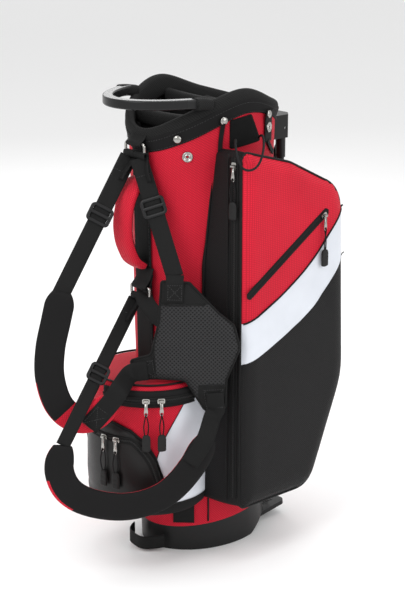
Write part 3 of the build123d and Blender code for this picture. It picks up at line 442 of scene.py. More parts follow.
def cushion(name, outline, place, front, back, made, step=5.0, edge=1.2, body="root",
            nodes=(), slot=None, sides=0):
    """Pad cut to a 2D outline.

    place(u, v, h) puts it in space; front and back give each face's height from the
    distance to its edge.
    """
    outline = [tuple(p) for p in outline]
    n = len(outline)
    us = [p[0] for p in outline]
    vs = [p[1] for p in outline]
    inner = []
    row = 0
    v = min(vs) + step / 2
    while v < max(vs):
        u = min(us) + (step / 2 if row % 2 else 0)
        while u < max(us):
            inside = False
            for (ax, ay), (bx, by) in zip(outline, outline[1:] + outline[:1]):
                if (ay > v) != (by > v) and u < ax + (v - ay) / (by - ay) * (bx - ax):
                    inside = not inside
            if inside and edge_distance((u, v), outline) > step * 0.45:
                inner.append((u, v))
            u += step
        v += step * 0.866
        row += 1
    flat = [Vector(p) for p in outline + inner]
    edges = [(i, (i + 1) % n) for i in range(n)]
    flat, edges, triangles, _, _, _ = delaunay_2d_cdt(flat, edges, [], 1, 1e-5)
    gaps = [edge_distance(p, outline) for p in flat]
    verts = [place(p[0], p[1], edge + front(g, p)) for p, g in zip(flat, gaps)]
    verts += [place(p[0], p[1], -edge - back(g, p)) for p, g in zip(flat, gaps)]
    shift = len(flat)
    faces, maps, picks = [], [], []
    for t in triangles:
        a, b, c = (flat[k] for k in t)
        t = list(t) if (b - a).cross(c - a) > 0 else list(t)[::-1]
        faces += [tuple(t), tuple(k + shift for k in t[::-1])]
        maps += [[tuple(flat[k]) for k in t], [tuple(flat[k]) for k in t[::-1]]]
        picks += [0, sides]
    rim = {}
    for t in faces[::2]:
        for a, b in zip(t, t[1:] + t[:1]):
            rim[(a, b)] = rim.get((a, b), 0) + 1
    for a, b in [k for k in rim if (k[1], k[0]) not in rim]:
        faces.append((b, a, a + shift, b + shift))
        maps.append([(flat[b][0], flat[b][1]), (flat[a][0], flat[a][1]),
                     (flat[a][0], flat[a][1] + 2), (flat[b][0], flat[b][1] + 2)])
        picks.append(sides)
    return piece(name, verts, faces, maps, made, body, nodes, slot, picks)


def stitches(name, points, out, made, body="root", pitch=5.0, length=3.2, radius=0.45):
    """Row of raised thread stitches along a line, standing on a face that looks out."""
    points = smooth_line(points, 2.0)
    verts, faces, maps = [], [], []
    travelled, due = 0.0, pitch / 2
    for a, b in zip(points, points[1:]):
        travelled += (b - a).length
        if travelled < due:
            continue
        due += pitch
        way = (b - a).normalized()
        face = out if isinstance(out, Vector) else out(a)
        side = way.cross(face).normalized()
        base = len(verts)
        for t, size in ((-0.5, 0.35), (-0.25, 1), (0.25, 1), (0.5, 0.35)):
            for k in range(6):
                turn = 2 * pi * k / 6
                verts.append(a + way * (length * t) + side * (radius * size * cos(turn))
                             + face * (radius * size * sin(turn)))
        for ring in range(3):
            for k in range(6):
                p, q = base + ring * 6 + k, base + ring * 6 + (k + 1) % 6
                faces.append((p, q, q + 6, p + 6))
                maps.append([(0, 0), (1, 0), (1, 1), (0, 1)])
    return piece(name, verts, faces, maps, made, body)


def cut_by(obj, test, above=1):
    """Cut a mesh along test(point) = 0, and give the side where it is positive a material slot."""
    bm = bmesh.new()
    bm.from_mesh(obj.data)
    fresh = set()
    for e in list(bm.edges):
        a, b = test(e.verts[0].co / MM), test(e.verts[1].co / MM)
        if a * b < 0 and min(abs(a), abs(b)) > 1e-3:
            _, v = bmesh.utils.edge_split(e, e.verts[0], a / (a - b))
            fresh.add(v)
    for f in list(bm.faces):
        marked = [v for v in f.verts if v in fresh]
        if len(marked) == 2:
            try:
                bmesh.utils.face_split(f, marked[0], marked[1])
            except ValueError:
                pass
    for f in bm.faces:
        if test(f.calc_center_median() / MM) > 0:
            f.material_index = above
    bm.to_mesh(obj.data)
    bm.free()
    obj.data.update()


# ---------------------------------------------------------------- camera, light and floor
camera = bpy.data.objects.new("camera", bpy.data.cameras.new("camera"))
bpy.context.scene.collection.objects.link(camera)
camera.location = (2.0288, -1.8267, 1.262)
camera.rotation_euler = (radians(73.1), 0, radians(48))
camera.data.lens = 93.8
camera.data.sensor_width = 36.0
bpy.context.scene.camera = camera

floor_material, floor_tree, floor_shader = blank("pale_floor")
floor_noise = node(floor_tree, "TexNoise", {"Scale": 4.0})
floor_mix = node(floor_tree, "Mix", {0: floor_noise.outputs[0], 6: (0.9, 0.9, 0.9, 1),
                                     7: (0.94, 0.94, 0.94, 1)}, data_type="RGBA")
floor_tree.links.new(floor_mix.outputs[2], floor_shader.inputs["Base Color"])
floor_shader.inputs["Roughness"].default_value = 0.8
floor = piece("floor", [(-9000, -9000, -0.5), (9000, -9000, -0.5), (9000, 9000, -0.5),
                        (-9000, 9000, -0.5)], [(0, 1, 2, 3)], [[(0, 0)] * 4],
              floor_material, body=None)

world = bpy.data.worlds.new("studio")
bpy.context.scene.world = world
world.use_nodes = True
world.node_tree.nodes["Background"].inputs["Color"].default_value = (1, 1, 1, 1)
world.node_tree.nodes["Background"].inputs["Strength"].default_value = 0.85
bpy.context.scene.view_settings.view_transform = "Standard"
for name, place, size, power in (("key", (0.4, -2.6, 2.6), 1.6, 42),
                                 ("fill", (2.9, 0.6, 1.8), 1.8, 24),
                                 ("top", (0.2, 0.2, 3.0), 1.6, 22),
                                 ("rim", (-2.4, 1.4, 2.0), 1.4, 16)):
    lamp = bpy.data.objects.new(name, bpy.data.lights.new(name, "AREA"))
    bpy.context.scene.collection.objects.link(lamp)
    lamp.location = place
    lamp.rotation_euler = (Vector((0, 0, 0.42)) - Vector(place)).to_track_quat(
        "-Z", "Y").to_euler()
    lamp.data.energy = power
    lamp.data.size = size

# ---------------------------------------------------------------- cords
def cord_curve(name, route, radius, made, body, node_name):
    """Smooth cord whose line is a NURBS spline with the route's points."""
    data = bpy.data.curves.new(name, "CURVE")
    data.dimensions = "3D"
    data.bevel_depth = radius * MM
    data.bevel_resolution = 3
    data.use_fill_caps = True
    spline = data.splines.new("NURBS")
    spline.points.add(len(route) - 1)
    for point, place in zip(spline.points, route):
        point.co = (*(c * MM for c in place), 1)
    spline.order_u = 3
    spline.use_endpoint_u = True
    spline.resolution_u = 8
    data.materials.append(made)
    obj = bpy.data.objects.new(name, data)
    bpy.context.scene.collection.objects.link(obj)
    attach(obj, body)
    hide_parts(node_name)
    return obj


towel_route = ((113.5, -27, 748), (127, -40, 757), (147, -60, 759), (168, -78, 752),
               (182, -87, 738), (189, -84, 723), (191, -70, 717), (190, -52, 719),
               (186, -37, 730), (176, -22, 745), (161, -7, 755), (142, 8, 759),
               (126, 19, 756), (114.5, 25, 749))
towel_loop = cord_curve("towel_loop", towel_route, 2.0, cord_black, "root", "towel_cord")

# ---------------------------------------------------------------- zips' pulls
front_half = ((-2.2, 62.0, 5.6), (-4.4, 49.0, 7.4), (-3.4, 38.0, 8.0), (-1.4, 29.0, 7.7),
              (0.0, 22.6, 7.3))
back_half = ((0.0, 22.6, 2.7), (1.4, 29.0, 2.6), (3.4, 38.0, 2.9), (4.4, 49.0, 3.4),
             (2.2, 62.0, 4.4))
gusset_normal = Vector((22 / 92, -1, 0)).normalized()


def round_spot(face, z, angle):
    """(place, across, out) on the round pouch."""
    a = radians(angle)
    out = Vector((cos(a), sin(a), 0))
    return pouch_centre + out * face + Vector((0, 0, z)), Vector((-sin(a), cos(a), 0)), out


gusset_y = -60 - 12 * 22 / 92
pull_spots = {
    "garment": (Vector((150, gusset_y, 718)) + gusset_normal * 1.2,
                Vector((-gusset_normal.y, gusset_normal.x, 0)), gusset_normal),
    "panel": (Vector((179.2, 122, 613 - 6 * 115 / 180)), Vector((0, 1, 0)), Vector((1, 0, 0))),
    "smile_front": round_spot(smile_face + 1.2, smile_z, -44),
    "smile_rear": round_spot(smile_face + 1.2, smile_z, -31),
    "ball_front": round_spot(ball_face + 1.2, ball_z, -84),
    "ball_rear": round_spot(ball_face + 1.2, ball_z, -71),
}


def add_rows(store, rows, slot_index, wrap_columns=True):
    """Append a grid of rows to a (verts, faces, maps, picks) store."""
    verts, faces, maps, picks = grid(rows, wrap_columns=wrap_columns)
    base = len(store[0])
    store[0].extend(verts)
    store[1].extend(tuple(k + base for k in f) for f in faces)
    store[2].extend(maps)
    store[3].extend([slot_index] * len(faces))


for zip_name, (spot, across, out) in pull_spots.items():
    up = Vector((0, 0, 1))

    def local(x, down, rise):
        return spot + across * x - up * down + out * rise

    body = zip_name + "_pull"
    # plated tab: waisted plate with a round hole, and the eye on the slider's pin
    tab = ([], [], [], [])
    outer, inner_ring = [], []
    for k in range(48):
        a = 2 * pi * k / 48
        down = 13.4 - 12.6 * cos(a)
        wide = (3.5 - 1.0 * sin(pi * min(max((down - 3) / 14, 0), 1))) if down < 17 else 3.5
        x = wide * squared(sin(a), 0.45)
        outer.append((x, down))
        inner_ring.append((2.2 * sin(a), 22.0 - 2.2 * cos(a)))
    rows = []
    for ring, rise in ((inner_ring, 4.3), (inner_ring, 5.7), (outer, 5.7)):
        rows.append([local(x, d, rise) for x, d in ring])
    rows.insert(2, [local(x * 1.22, 22.0 + (d - 22.0) * 1.22, 5.85) for x, d in inner_ring])
    rows.append([local(x * 1.02, d, 5.3) for x, d in outer])
    rows.append([local(x * 1.02, d, 4.7) for x, d in outer])
    rows.append([local(x, d, 4.3) for x, d in outer])
    rows.append([local(x, d, 4.3) for x, d in inner_ring])
    add_rows(tab, rows, 0)
    eye = [[local(x, 2.2 * cos(2 * pi * k / 20), 5 + 2.2 * sin(2 * pi * k / 20))
            for k in range(20)] for x in (-3.4, -3.2, 3.2, 3.4)]
    add_rows(tab, eye, 0)
    piece(zip_name + "_tab", tab[0], tab[1], tab[2], nickel, body,
          nodes=(zip_name + "_zip_pull",), slot="nickel")
    # moulded grip: shouldered, bevelled, with three finger grooves
    rows = []
    for k in range(31):
        t = k / 30
        down = 60 + 31 * t
        round_end = sqrt(max(1 - (max(0, abs(t - 0.5) - 0.38) / 0.12) ** 2, 0.0))
        wide = (5.4 + 2.0 * min(t * 4, 1)) * (0.35 + 0.65 * round_end)
        deep = 2.9 * (0.3 + 0.7 * round_end)
        groove = 0.35 * max(0, sin((t - 0.3) * 3.5 * 2 * pi)) if 0.3 < t < 0.87 else 0
        row = []
        for s in range(28):
            a = 2 * pi * s / 28
            x = wide * squared(cos(a), 0.5)
            y = (deep - groove) * squared(sin(a), 0.6)
            row.append(local(x, down, 5 + y))
        rows.append(row)
    verts, faces, maps, picks = grid(rows, wrap_columns=True, caps=True)
    piece(zip_name + "_grip", verts, faces, maps, rubber, body, slot="rubber_grip")
    route = [local(*p) for p in front_half + back_half]
    pull_cord = cord_curve(zip_name + "_cord", route, 1.1, cord_black, body,
                           zip_name + "_pull_cord")
    [c * MM for c in route[0]]


# ---------------------------------------------------------------- body sleeve
def body_row(z_of, out):
    """Ring of points round the body, at a height that may follow y."""
    row = []
    for k in range(144):
        angle = k * 2.5
        y = half_y(seam_height) * sin(radians(angle))
        row.append(skin(angle, z_of(y), out))
    return row


rows = []
for i in range(49):
    t = i / 48

    def height(y, t=t):
        low, high = cup_mouth(y) + 0.5, line_z(hem_line, y) + 5
        return low + (high - low) * t

    row = body_row(height, 0.0)
    for k, p in enumerate(row):
        fade = min(1, t * 6, (1 - t) * 6)
        normal = Vector((p.x / half_x(p.z) ** 2, p.y / half_y(p.z) ** 2, 0)).normalized()
        row[k] = p - normal * (fade * (0.7 + 0.9 * soft_noise(p, 90, 2)
                                       + 0.4 * soft_noise(p, 28, 5)))
    rows.append(row)
verts, faces, maps, picks = grid(rows, wrap_columns=True)
piece("sleeve_skin", verts, faces, maps, red_body, nodes=("body_sleeve",), slot="red_fabric")


def lining_height(y, t):
    """Height of the lining, from above the foot lever's recess to the collar's hem."""
    low = cup_mouth(y) + 2
    return low + (line_z(hem_line, y) + 3 - low) * t


rows = [body_row(lambda y, t=t: lining_height(y, t), -sleeve_wall)
        for t in [i / 12 for i in range(13)]]
verts, faces, maps, picks = grid(rows[::-1], wrap_columns=True)
piece("sleeve_lining", verts, faces, maps, black_plain, slot="black_fabric")

# ---------------------------------------------------------------- collar
def collar_heights(y):
    """Heights of the collar's hem and rim."""
    return line_z(hem_line, y), line_z(rim_line, y)


def collar_swell(z, hem, rim):
    """How far the collar's outer face stands off the body at a height."""
    return 0.8 + 4.6 * max(0, (z - hem) / max(rim - 11 - hem, 1))


rows = []
for k in range(180):
    angle = k * 2
    a = radians(angle)
    y = half_y(seam_height) * sin(a)
    hem, rim = collar_heights(y)
    inner = Vector((collar_inner[0] * cos(a), collar_inner[1] * sin(a), 0))
    row = []
    for i in range(11):
        t = i / 10
        z = hem + (rim - 11 - hem) * t
        row.append(skin(angle, z, 0.8 + 4.6 * t + 1.6 * sin(pi * t)
                        + 0.5 * soft_noise((inner.x, inner.y, z), 40)))
    outer = row[-1]
    middle = (outer + inner) / 2
    for i in range(1, 10):
        turn = pi * i / 10
        spot = middle + (outer - middle) * cos(turn)
        spot.z = rim - 11 + 11 * sin(turn)
        row.append(spot)
    for i in range(11):
        t = i / 10
        z = rim - 11 + (hem - rim + 11) * t
        row.append(Vector((inner.x, inner.y, z)) * 1.0 - Vector((cos(a), sin(a), 0))
                   * 1.2 * sin(pi * t))
    rows.append(row)
verts, faces, maps, picks = grid(rows[::-1], wrap_rows=True, wrap_columns=True)
collar = piece("collar_padding", verts, faces, maps, air_mesh, nodes=("collar_pad",),
               slot="black_mesh")

rows = []
for k in range(180):
    angle = k * 2
    y = half_y(seam_height) * sin(radians(angle))
    hem, rim = collar_heights(y)
    top = hem + min(26, (rim - hem) * 0.55)
    row = []
    for t, lift in ((0, 0.2), (0.02, 1.5), (0.1, 2.0), (0.35, 2.3), (0.65, 2.6), (0.9, 2.8),
                    (0.98, 2.3), (1.0, 1.2)):
        z = hem - 7 + (top - hem + 7) * t
        rise = collar_swell(z, hem, rim)
        row.append(skin(angle, z, rise + lift - 0.6
                        + 0.5 * soft_noise(skin(angle, z), 30, 4) * (0.1 < t < 0.95)))
    rows.append(row)
verts, faces, maps, picks = grid(rows[::-1], wrap_rows=True)
piece("collar_binding", verts, faces, maps, black_plain, slot="black_fabric")
for lift, name in ((0.9, "low"), (23.0, "high")):
    ring = []
    for k in range(360):
        y = half_y(seam_height) * sin(radians(k))
        hem, rim = collar_heights(y)
        z = hem - 5 + lift * min(1, (rim - hem) * 0.55 / 26)
        rise = collar_swell(z, hem, rim)
        ring.append(skin(k, z, rise + 2.1))
    stitches("collar_stitching_" + name, ring + ring[:1],
             lambda p: Vector((p.x, p.y * 0.6, 0)).normalized(), thread_grey)

# ---------------------------------------------------------------- dividers
bars = ([], [], [], [])
for number, (bar_y, bar_top) in enumerate(divider_places, start=1):
    reach = abs(bar_y) + 8
    span = 98.8 * sqrt(1 - (reach / 129.8) ** 2)
    rows = []
    for i in range(25):
        x = -span + 2 * span * i / 24
        sag = 4 * (1 - (x / span) ** 2)
        row = []
        for k in range(20):
            a = 2 * pi * k / 20
            row.append(Vector((x, bar_y + 8 * squared(cos(a), 0.7),
                               bar_top - 15 - sag + 14.5 * squared(sin(a), 0.8))))
        rows.append(row)
    add_rows(bars, rows, 0)
    width = 2 * (span - 4)
    low, high = 90.0, bar_top - 28
    rows = []
    for i in range(30):
        z = low + (high - low) * i / 29
        rows.append([Vector((-width / 2 + width * k / 24, bar_y
                             + 1.6 * sin(k * 0.9 + number) * sin(pi * i / 29), z))
                     for k in range(25)])
    verts, faces, maps, picks = grid(rows)
    cloth = piece(f"divider_cloth_{number}", verts, faces, maps, black_plain,
                  nodes=("divider_panels",), slot="black_fabric")
padding = piece("divider_padding", *bars[:3], air_mesh, nodes=("divider_bars",),
                slot="black_mesh", picks=bars[3])

# ---------------------------------------------------------------- garment pocket
edge_counts = [14, 16, 34, 24, 20, 60]
shoulder = rounded(pocket_outline, pocket_radii, edge_counts)
root = rounded(root_outline, root_radii, edge_counts)
shoulder_2d = [tuple(p) for p in shoulder]
zip_start, zip_end = Vector((-52, 498)), Vector((128, 613))


def inside_body(p):
    """Below 1 inside the body's oval."""
    return (p.x / half_x(p.z)) ** 2 + (p.y / half_y(p.z)) ** 2


root_lean = 24.0
side_rows = [[] for _ in range(13)]
for r, s in zip(root, shoulder):
    start, end = Vector((root_x, r.x, r.y)), Vector((shoulder_x, s.x, s.y))
    lean = root_lean * min(max((r.y - 540) / 200, 0), 1) if r.x < -50 else 0.0
    first = 0.0
    while first < 0.6 and inside_body(start.lerp(end, first)) < 0.965:
        first += 0.01
    way = Vector((0, s.x - 60, (s.y - 420) * 0.4)).normalized()
    for i in range(13):
        t = first + (1 - first) * i / 12
        swell = 2.4 * sin(pi * (i / 12)) * (0.25 if s.x < -50 else 1)
        side_rows[i].append(start.lerp(end, t) + way * swell
                            + Vector((0, lean * (1 - i / 12) ** 1.6, 0)))
verts, faces, maps, picks = grid(side_rows, wrap_columns=True)
piece("pocket_gusset", verts, faces, maps, black_body, nodes=("garment_pocket",),
      slot="black_coated")

centre = Vector((62, 415))
crown_reach, crown_rise = 30, 15.6        # the front's rounded edge
front_rows = []
for i in range(33):
    t = (i / 32) ** 0.9
    row = []
    for s in shoulder:
        q = s.lerp(centre, min(t, 0.999))
        gap = edge_distance(q, shoulder_2d[::3])
        crown = round_over(gap, crown_reach)
        off_zip = min(1, abs((q - zip_start).cross((zip_end - zip_start).normalized())) / 30)
        fold = soft_noise((0, q.x * 1.0 + q.y * 0.8, (q.y - q.x) * 0.35), 46, 3)
        ripple = 0.8 * max(0, fold) + 0.5 * max(0, soft_noise((0, q.x, q.y), 60, 8))
        upper = min(1, max(0, (q.y - 380) / 120))
        x = shoulder_x + crown_rise * crown - ripple * (0.7 + 1.4 * upper) * off_zip * crown
        row.append(Vector((x, q.x, q.y)))
    front_rows.append(row)
verts, faces, maps, picks = grid(front_rows, wrap_columns=True)
maps = [[(verts[k].y, verts[k].z) for k in face] for face in faces]
front = piece("pocket_front", verts, faces, maps, [red_front, white_cloth, black_body],
              slot="red_fabric")


def band_line(points):
    """Height of a line drawn through (y, z) points, straight past its ends."""
    def height(y):
        if y > points[-1][0]:
            (a, b), (c, d) = points[-2], points[-1]
            return d + (y - c) * (d - b) / (c - a)
        if y < points[0][0]:
            (a, b), (c, d) = points[0], points[1]
            return b + (y - a) * (d - b) / (c - a)
        return line_z(points, y)
    return height


stripe_top = band_line(((-84, 435), (-25, 460), (38, 492), (100, 535), (157, 593)))
stripe_low = band_line(((-77, 366), (-6, 391), (92, 439), (130, 470), (166, 508)))
cut_by(front, lambda p: stripe_top(p.y) - p.z, above=1)
cut_by(front, lambda p: stripe_low(p.y) - p.z, above=2)


def front_x(y, z, out):
    """How far the pocket's front face stands out at a place."""
    gap = edge_distance((y, z), shoulder_2d[::3])
    crown = round_over(gap, crown_reach)
    return shoulder_x + crown_rise * crown + out


def on_front(points, out, step=5.0):
    """Line on the front face, from (y, z) points."""
    flat = smooth_line([(0, y, z) for y, z in points], step)
    return [Vector((front_x(p.y, p.z, out), p.y, p.z)) for p in flat]


edge = [Vector((shoulder_x + 0.5, s.x, s.y)) for s in shoulder]
tube("pocket_piping", smooth_line(edge[::3], 4.0, closed=True), 2.4, piping, closed=True)
stripe_ys = [-58, -40, -10, 20, 50, 80, 110, 140, 160, 181]
tube("stripe_piping", on_front([(y, stripe_top(y)) for y in stripe_ys], 0.2), 1.7, piping)
tube("stripe_seam", on_front([(y, stripe_low(y)) for y in [-58] + stripe_ys[1:] + [187]],
                             -0.5), 0.9, piping)
seam = side_rows[1][-64:] + side_rows[1][:4]
tube("gusset_piping", smooth_line([p + Vector((0, -1.2, 0)) for p in seam[::5]], 5.0), 1.8,
     piping)


# ---------------------------------------------------------------- zips
def zip_chain(name, points, out, width, nodes, body="root", flap=0.0):
    """Zip: two tapes with a raised fold each side, and a chain of interlocking teeth."""
    count = len(points)
    ways = tangents(points)
    faces_out = out if isinstance(out, list) else [out] * count
    store = ([], [], [], [])
    profile = [(-1, 0), (-0.98, 0.5), (-0.8, 0.9), (-0.62, 1.2), (-0.5, 0.9), (-0.42, 0.25),
               (-0.15, 0.2), (0.15, 0.2), (0.42, 0.25), (0.5, 0.9), (0.62, 1.2), (0.8, 0.9),
               (0.98, 0.5), (1, 0)]
    rows = []
    for p, way, face in zip(points, ways, faces_out):
        side = way.cross(face).normalized()
        rows.append([p + side * (a * width / 2) + face * (b * (1 + flap)) for a, b in profile])
    add_rows(store, rows, 0, wrap_columns=False)
    travelled, due, left = 0.0, 1.0, 1
    for i in range(count - 1):
        run = points[i + 1] - points[i]
        while due <= travelled + run.length:
            p = points[i] + run.normalized() * (due - travelled)
            face, way = faces_out[i], ways[i]
            side = way.cross(face).normalized() * left
            base = len(store[0])
            for a, b, c in ((-0.6, -0.9, 0.1), (2.2, -0.9, 0.1), (2.2, 0.9, 0.1),
                            (-0.6, 0.9, 0.1), (-0.4, -0.6, 1.1), (1.9, -0.6, 0.9),
                            (1.9, 0.6, 0.9), (-0.4, 0.6, 1.1)):
                store[0].append(p + side * a + way * b + face * c)
            for f in ((0, 1, 5, 4), (1, 2, 6, 5), (2, 3, 7, 6), (3, 0, 4, 7), (4, 5, 6, 7)):
                store[1].append(tuple(base + k for k in f))
                store[2].append([(0, 0)] * 4)
                store[3].append(1)
            due += 1.6
            left = -left
        travelled += run.length
    return piece(name, store[0], store[1], store[2], [webbing, coil_black], body, nodes,
                 "black_webbing", store[3])


gusset_line = [Vector((150, gusset_y, z)) + gusset_normal * 0.4
               for z in np.linspace(122, 732, 120)]
zip_chain("garment_zip_chain", gusset_line, gusset_normal, 15, ("garment_zip",))
for shift, name in ((-13, "inner"), (11, "outer")):
    line = [Vector((150 + shift * 0.97, gusset_y + shift * 22 / 92, z)) + gusset_normal * 0.9
            for z in np.linspace(112, 736, 80)]
    tube("zip_welt_" + name, line, 1.3, piping)

# water-resistant diagonal zip: a rubbery tape with a closed slit and a welded edge
zip_way = (zip_end - zip_start).normalized()
zip_side = Vector((-zip_way.y, zip_way.x))
panel_rows = []
length = (zip_end - zip_start).length
for i in range(61):
    run = -8 + (length + 16) * i / 60
    end = min(run + 8, length + 8 - run)
    wide = 7.4 * sqrt(max(1 - (1 - min(end / 6, 1)) ** 2, 0.02))
    row = []
    for a, b in ((-1, -0.3), (-0.97, 0.5), (-0.6, 0.8), (-0.1, 0.75), (0, 0.2), (0.1, 0.75),
                 (0.6, 0.8), (0.97, 0.5), (1, -0.3)):
        q = zip_start + zip_way * run + zip_side * (a * wide)
        row.append(Vector((face_x - 0.1 + b, q.x, q.y)))
    panel_rows.append(row)
verts, faces, maps, picks = grid(panel_rows)
piece("panel_zip_tape", verts, faces, maps, black_plain, nodes=("panel_zip",),
      slot="black_webbing")


def round_line(face, z_of, start, stop, step=2.0):
    """(points, outward directions) of a line round the pouch."""
    points, outs = [], []
    count = max(3, round(abs(stop - start) / step))
    for i in range(count + 1):
        angle = start + (stop - start) * i / count
        p, _, out = round_spot(face, z_of(angle), angle)
        points.append(p)
        outs.append(out)
    return points, outs


# ---------------------------------------------------------------- accessory pouch
pouch_profile = [(2, pouch_bottom), (60, pouch_bottom), (86, pouch_bottom),
                 (92, pouch_bottom + 1.5), (98, pouch_bottom + 7), (102, pouch_bottom + 14),
                 (103.6, pouch_bottom + 22)]
pouch_profile += [(104, z) for z in np.linspace(126, 322, 22)]
pouch_profile += [(103.6, 330), (101.5, 336), (97, 340), (91, 342), (60, 342.5), (2, 343)]
rows = []
for radius, z in pouch_profile:
    row = []
    for i in range(126):
        angle = -216 + 252 * i / 125
        p, _, out = round_spot(radius, z, angle)
        if 100 < radius:
            p -= out * (0.6 + 0.9 * soft_noise(p, 55, 6) + 0.4 * soft_noise(p, 22, 1))
        limit = 0.968
        while inside_body(p) < limit and p.y > -half_y(p.z):
            p.y -= 1.5
            if p.y < -half_y(p.z):
                break
        row.append(p)
    rows.append(row)
verts, faces, maps, picks = grid(rows)
pouch = piece("pouch_skin", verts, faces, maps, [red_body, white_cloth, black_plain],
              nodes=("accessory_pouch",), slot="red_fabric")
white_edge = band_line(((-46, 96), (-40, 160), (-34.6, 209), (-22.7, 259), (2, 327)))


def pouch_angle(p):
    """Plan angle round the pouch's axis in degrees."""
    return degrees(atan2(p.y - pouch_centre.y, p.x))


def on_white(p):
    """Positive on the pouch's white flank panel."""
    angle = pouch_angle(p)
    if angle < -100 or angle > 120:
        return -1.0
    return white_edge(angle) - p.z if p.z < 334 else -1.0


cut_by(pouch, on_white, above=1)
cut_by(pouch, lambda p: 122 - p.z, above=2)
points, outs = round_line(104.3, lambda a: 122, -214, 34)
tube("pouch_seam", points, 1.1, piping)
flank = [(a, white_edge(a)) for a in (-40, -34.6, -28, -22.7, -10, 0)]
tube("white_panel_seam", smooth_line([round_spot(104.0, z, a)[0] for a, z in flank], 4.0), 0.8,
     piping)
points, outs = round_line(92, lambda a: 342.6, -205, 25)
tube("pouch_top_piping", [p + Vector((0, 0, -0.8)) + o * 6 for p, o in zip(points, outs)], 1.9,
     piping)

# padded band that carries the pouch's upper zip
band_rows = []
for angle in np.linspace(-90, 6, 60):
    end = min(angle + 90, 6 - angle)
    rise = 7.4 * round_over(end, 6)
    row = []
    for k in range(13):
        turn = pi * k / 12
        row.append(round_spot(104.0 + rise * sin(turn) ** 0.45, smile_z - 15 * cos(turn),
                              angle)[0])
    band_rows.append(row)
verts, faces, maps, picks = grid(band_rows[::-1])
piece("smile_band", verts, faces, maps, black_plain, slot="black_fabric")
points, outs = round_line(smile_face, lambda a: smile_z, -87, 3, 1.0)
zip_chain("smile_zip_chain", points, outs, 12, ("smile_zip",))
for dz, name in ((-13.5, "low"), (13.5, "high")):
    points, outs = round_line(106.5, lambda a: smile_z + dz, -89, 5)
    tube("smile_piping_" + name, points, 1.6, piping)

# ---------------------------------------------------------------- ball pocket
ball_outline = ((-95, 113), (-112, 128), (-112, 167), (-98, 211), (-82, 238), (-56, 260),
                (-25, 270), (25, 270), (56, 260), (82, 238), (98, 211), (112, 167),
                (112, 128), (95, 113))
ball_edge = rounded(ball_outline, [10] * 14, [3, 8, 10, 6, 6, 6, 10, 6, 6, 6, 10, 8, 3, 38])


def on_ball(u, v, h):
    """Place on the ball pocket, h above the pouch's wall."""
    return round_spot(104.2 + h, v, -90 + degrees(u / 104.0))[0]


def dome(gap, p):
    """Swell of the ball pocket over the distance from its edge."""
    shoulder_rise = 8.6 * round_over(gap, 11)
    belly = 1.4 * min(1, max(0, gap - 24) / 30) - 0.9 * max(0, 1 - abs(gap - 22) / 5)
    return shoulder_rise + belly + 0.5 * soft_noise((p[0], p[1], 0), 34, 9) * (gap > 12)


ball = cushion("ball_pocket_shell", ball_edge, on_ball, dome, lambda g, p: -0.4,
               [leather, leather], step=5.0, edge=0.6, nodes=("ball_pocket",),
               slot="black_coated")
rim = [on_ball(p.x, p.y, 1.6) for p in ball_edge]
tube("ball_piping", smooth_line(rim[::3], 4.0, closed=True), 2.1, piping, closed=True)
inset = [(-103, 130), (-101, 165), (-89, 206), (-74, 229), (-60, 243), (-45, 244),
         (45, 244), (60, 243), (74, 229), (89, 206), (101, 165), (103, 130)]
zip_line = smooth_line([(u, v, 0) for u, v in inset], 2.0)
zip_chain("ball_zip_chain", [on_ball(p.x, p.y, 9.9) for p in zip_line],
          [round_spot(1, 0, -90 + degrees(p.x / 104.0))[2] for p in zip_line], 13,
          ("ball_zip",))


# ---------------------------------------------------------------- harness planes
def upright(angle, distance):
    """Maker of points on an upright plane: along it, up, and out from it."""
    a = radians(angle)
    out = Vector((cos(a), sin(a), 0))
    side = Vector((-sin(a), cos(a), 0))

    def at(s, z, h=0.0):
        return out * (distance + h) + side * s + Vector((0, 0, z))

    return at, out, side


upper_at, upper_out, _ = upright(-36.87, 195)
lower_at, lower_out, _ = upright(-26, 197)
back_at, back_out, back_side = upright(-45, 170)

# ---------------------------------------------------------------- back pad
back_outline = ((-60, 525), (-13, 523), (37, 470), (62, 450), (73, 409), (50, 352), (48, 300),
                (13, 296), (-20, 350), (-68, 352), (-110, 350), (-113, 384), (-78, 394),
                (-64, 457))
back_edge = rounded(back_outline, [5, 6, 14, 12, 22, 14, 6, 6, 16, 14, 5, 5, 12, 20],
                    [8, 12, 6, 9, 11, 9, 7, 10, 9, 8, 6, 7, 11, 12])


def quilt(gap, p):
    """Half-thickness of the back pad: bound edge, stitch line, then the foam."""
    if gap < 4:
        return 0.9 * gap / 4
    return 0.9 + 4.4 * round_over(gap - 4, 16) \
        + 0.5 * soft_noise((p[0], p[1], 0), 30, 2)


back_pad = cushion("back_pad_cushion", back_edge, lambda u, v, h: back_at(u, v, 6 + h), quilt,
                   quilt, [pad_mesh, air_mesh, arm_cloth], step=5.0, edge=1.0, nodes=("back_pad",),
                   slot="black_mesh", sides=1)


def on_arm(p):
    """Positive on the back pad's three sewn arms."""
    s = p.dot(back_side)
    low_arm = min(342 - p.z, s - 2)
    return max(p.z - 486, -72 - s, low_arm)


cut_by(back_pad, on_arm, above=2)
for name, ends in (("top", ((-61, 486), (-38, 484), (14, 486))),
                   ("left", ((-72, 354), (-71, 372), (-74, 394))),
                   ("low", ((5, 342), (28, 344), (49, 342)))):
    tube("back_pad_seam_" + name, smooth_line([back_at(s, z, 11.8) for s, z in ends], 4.0),
         1.3, piping)
rim = [back_at(p.x, p.y, 6) for p in back_edge]
tube("back_pad_binding", smooth_line(rim[::2], 4.0, closed=True), 2.2, webbing, closed=True)


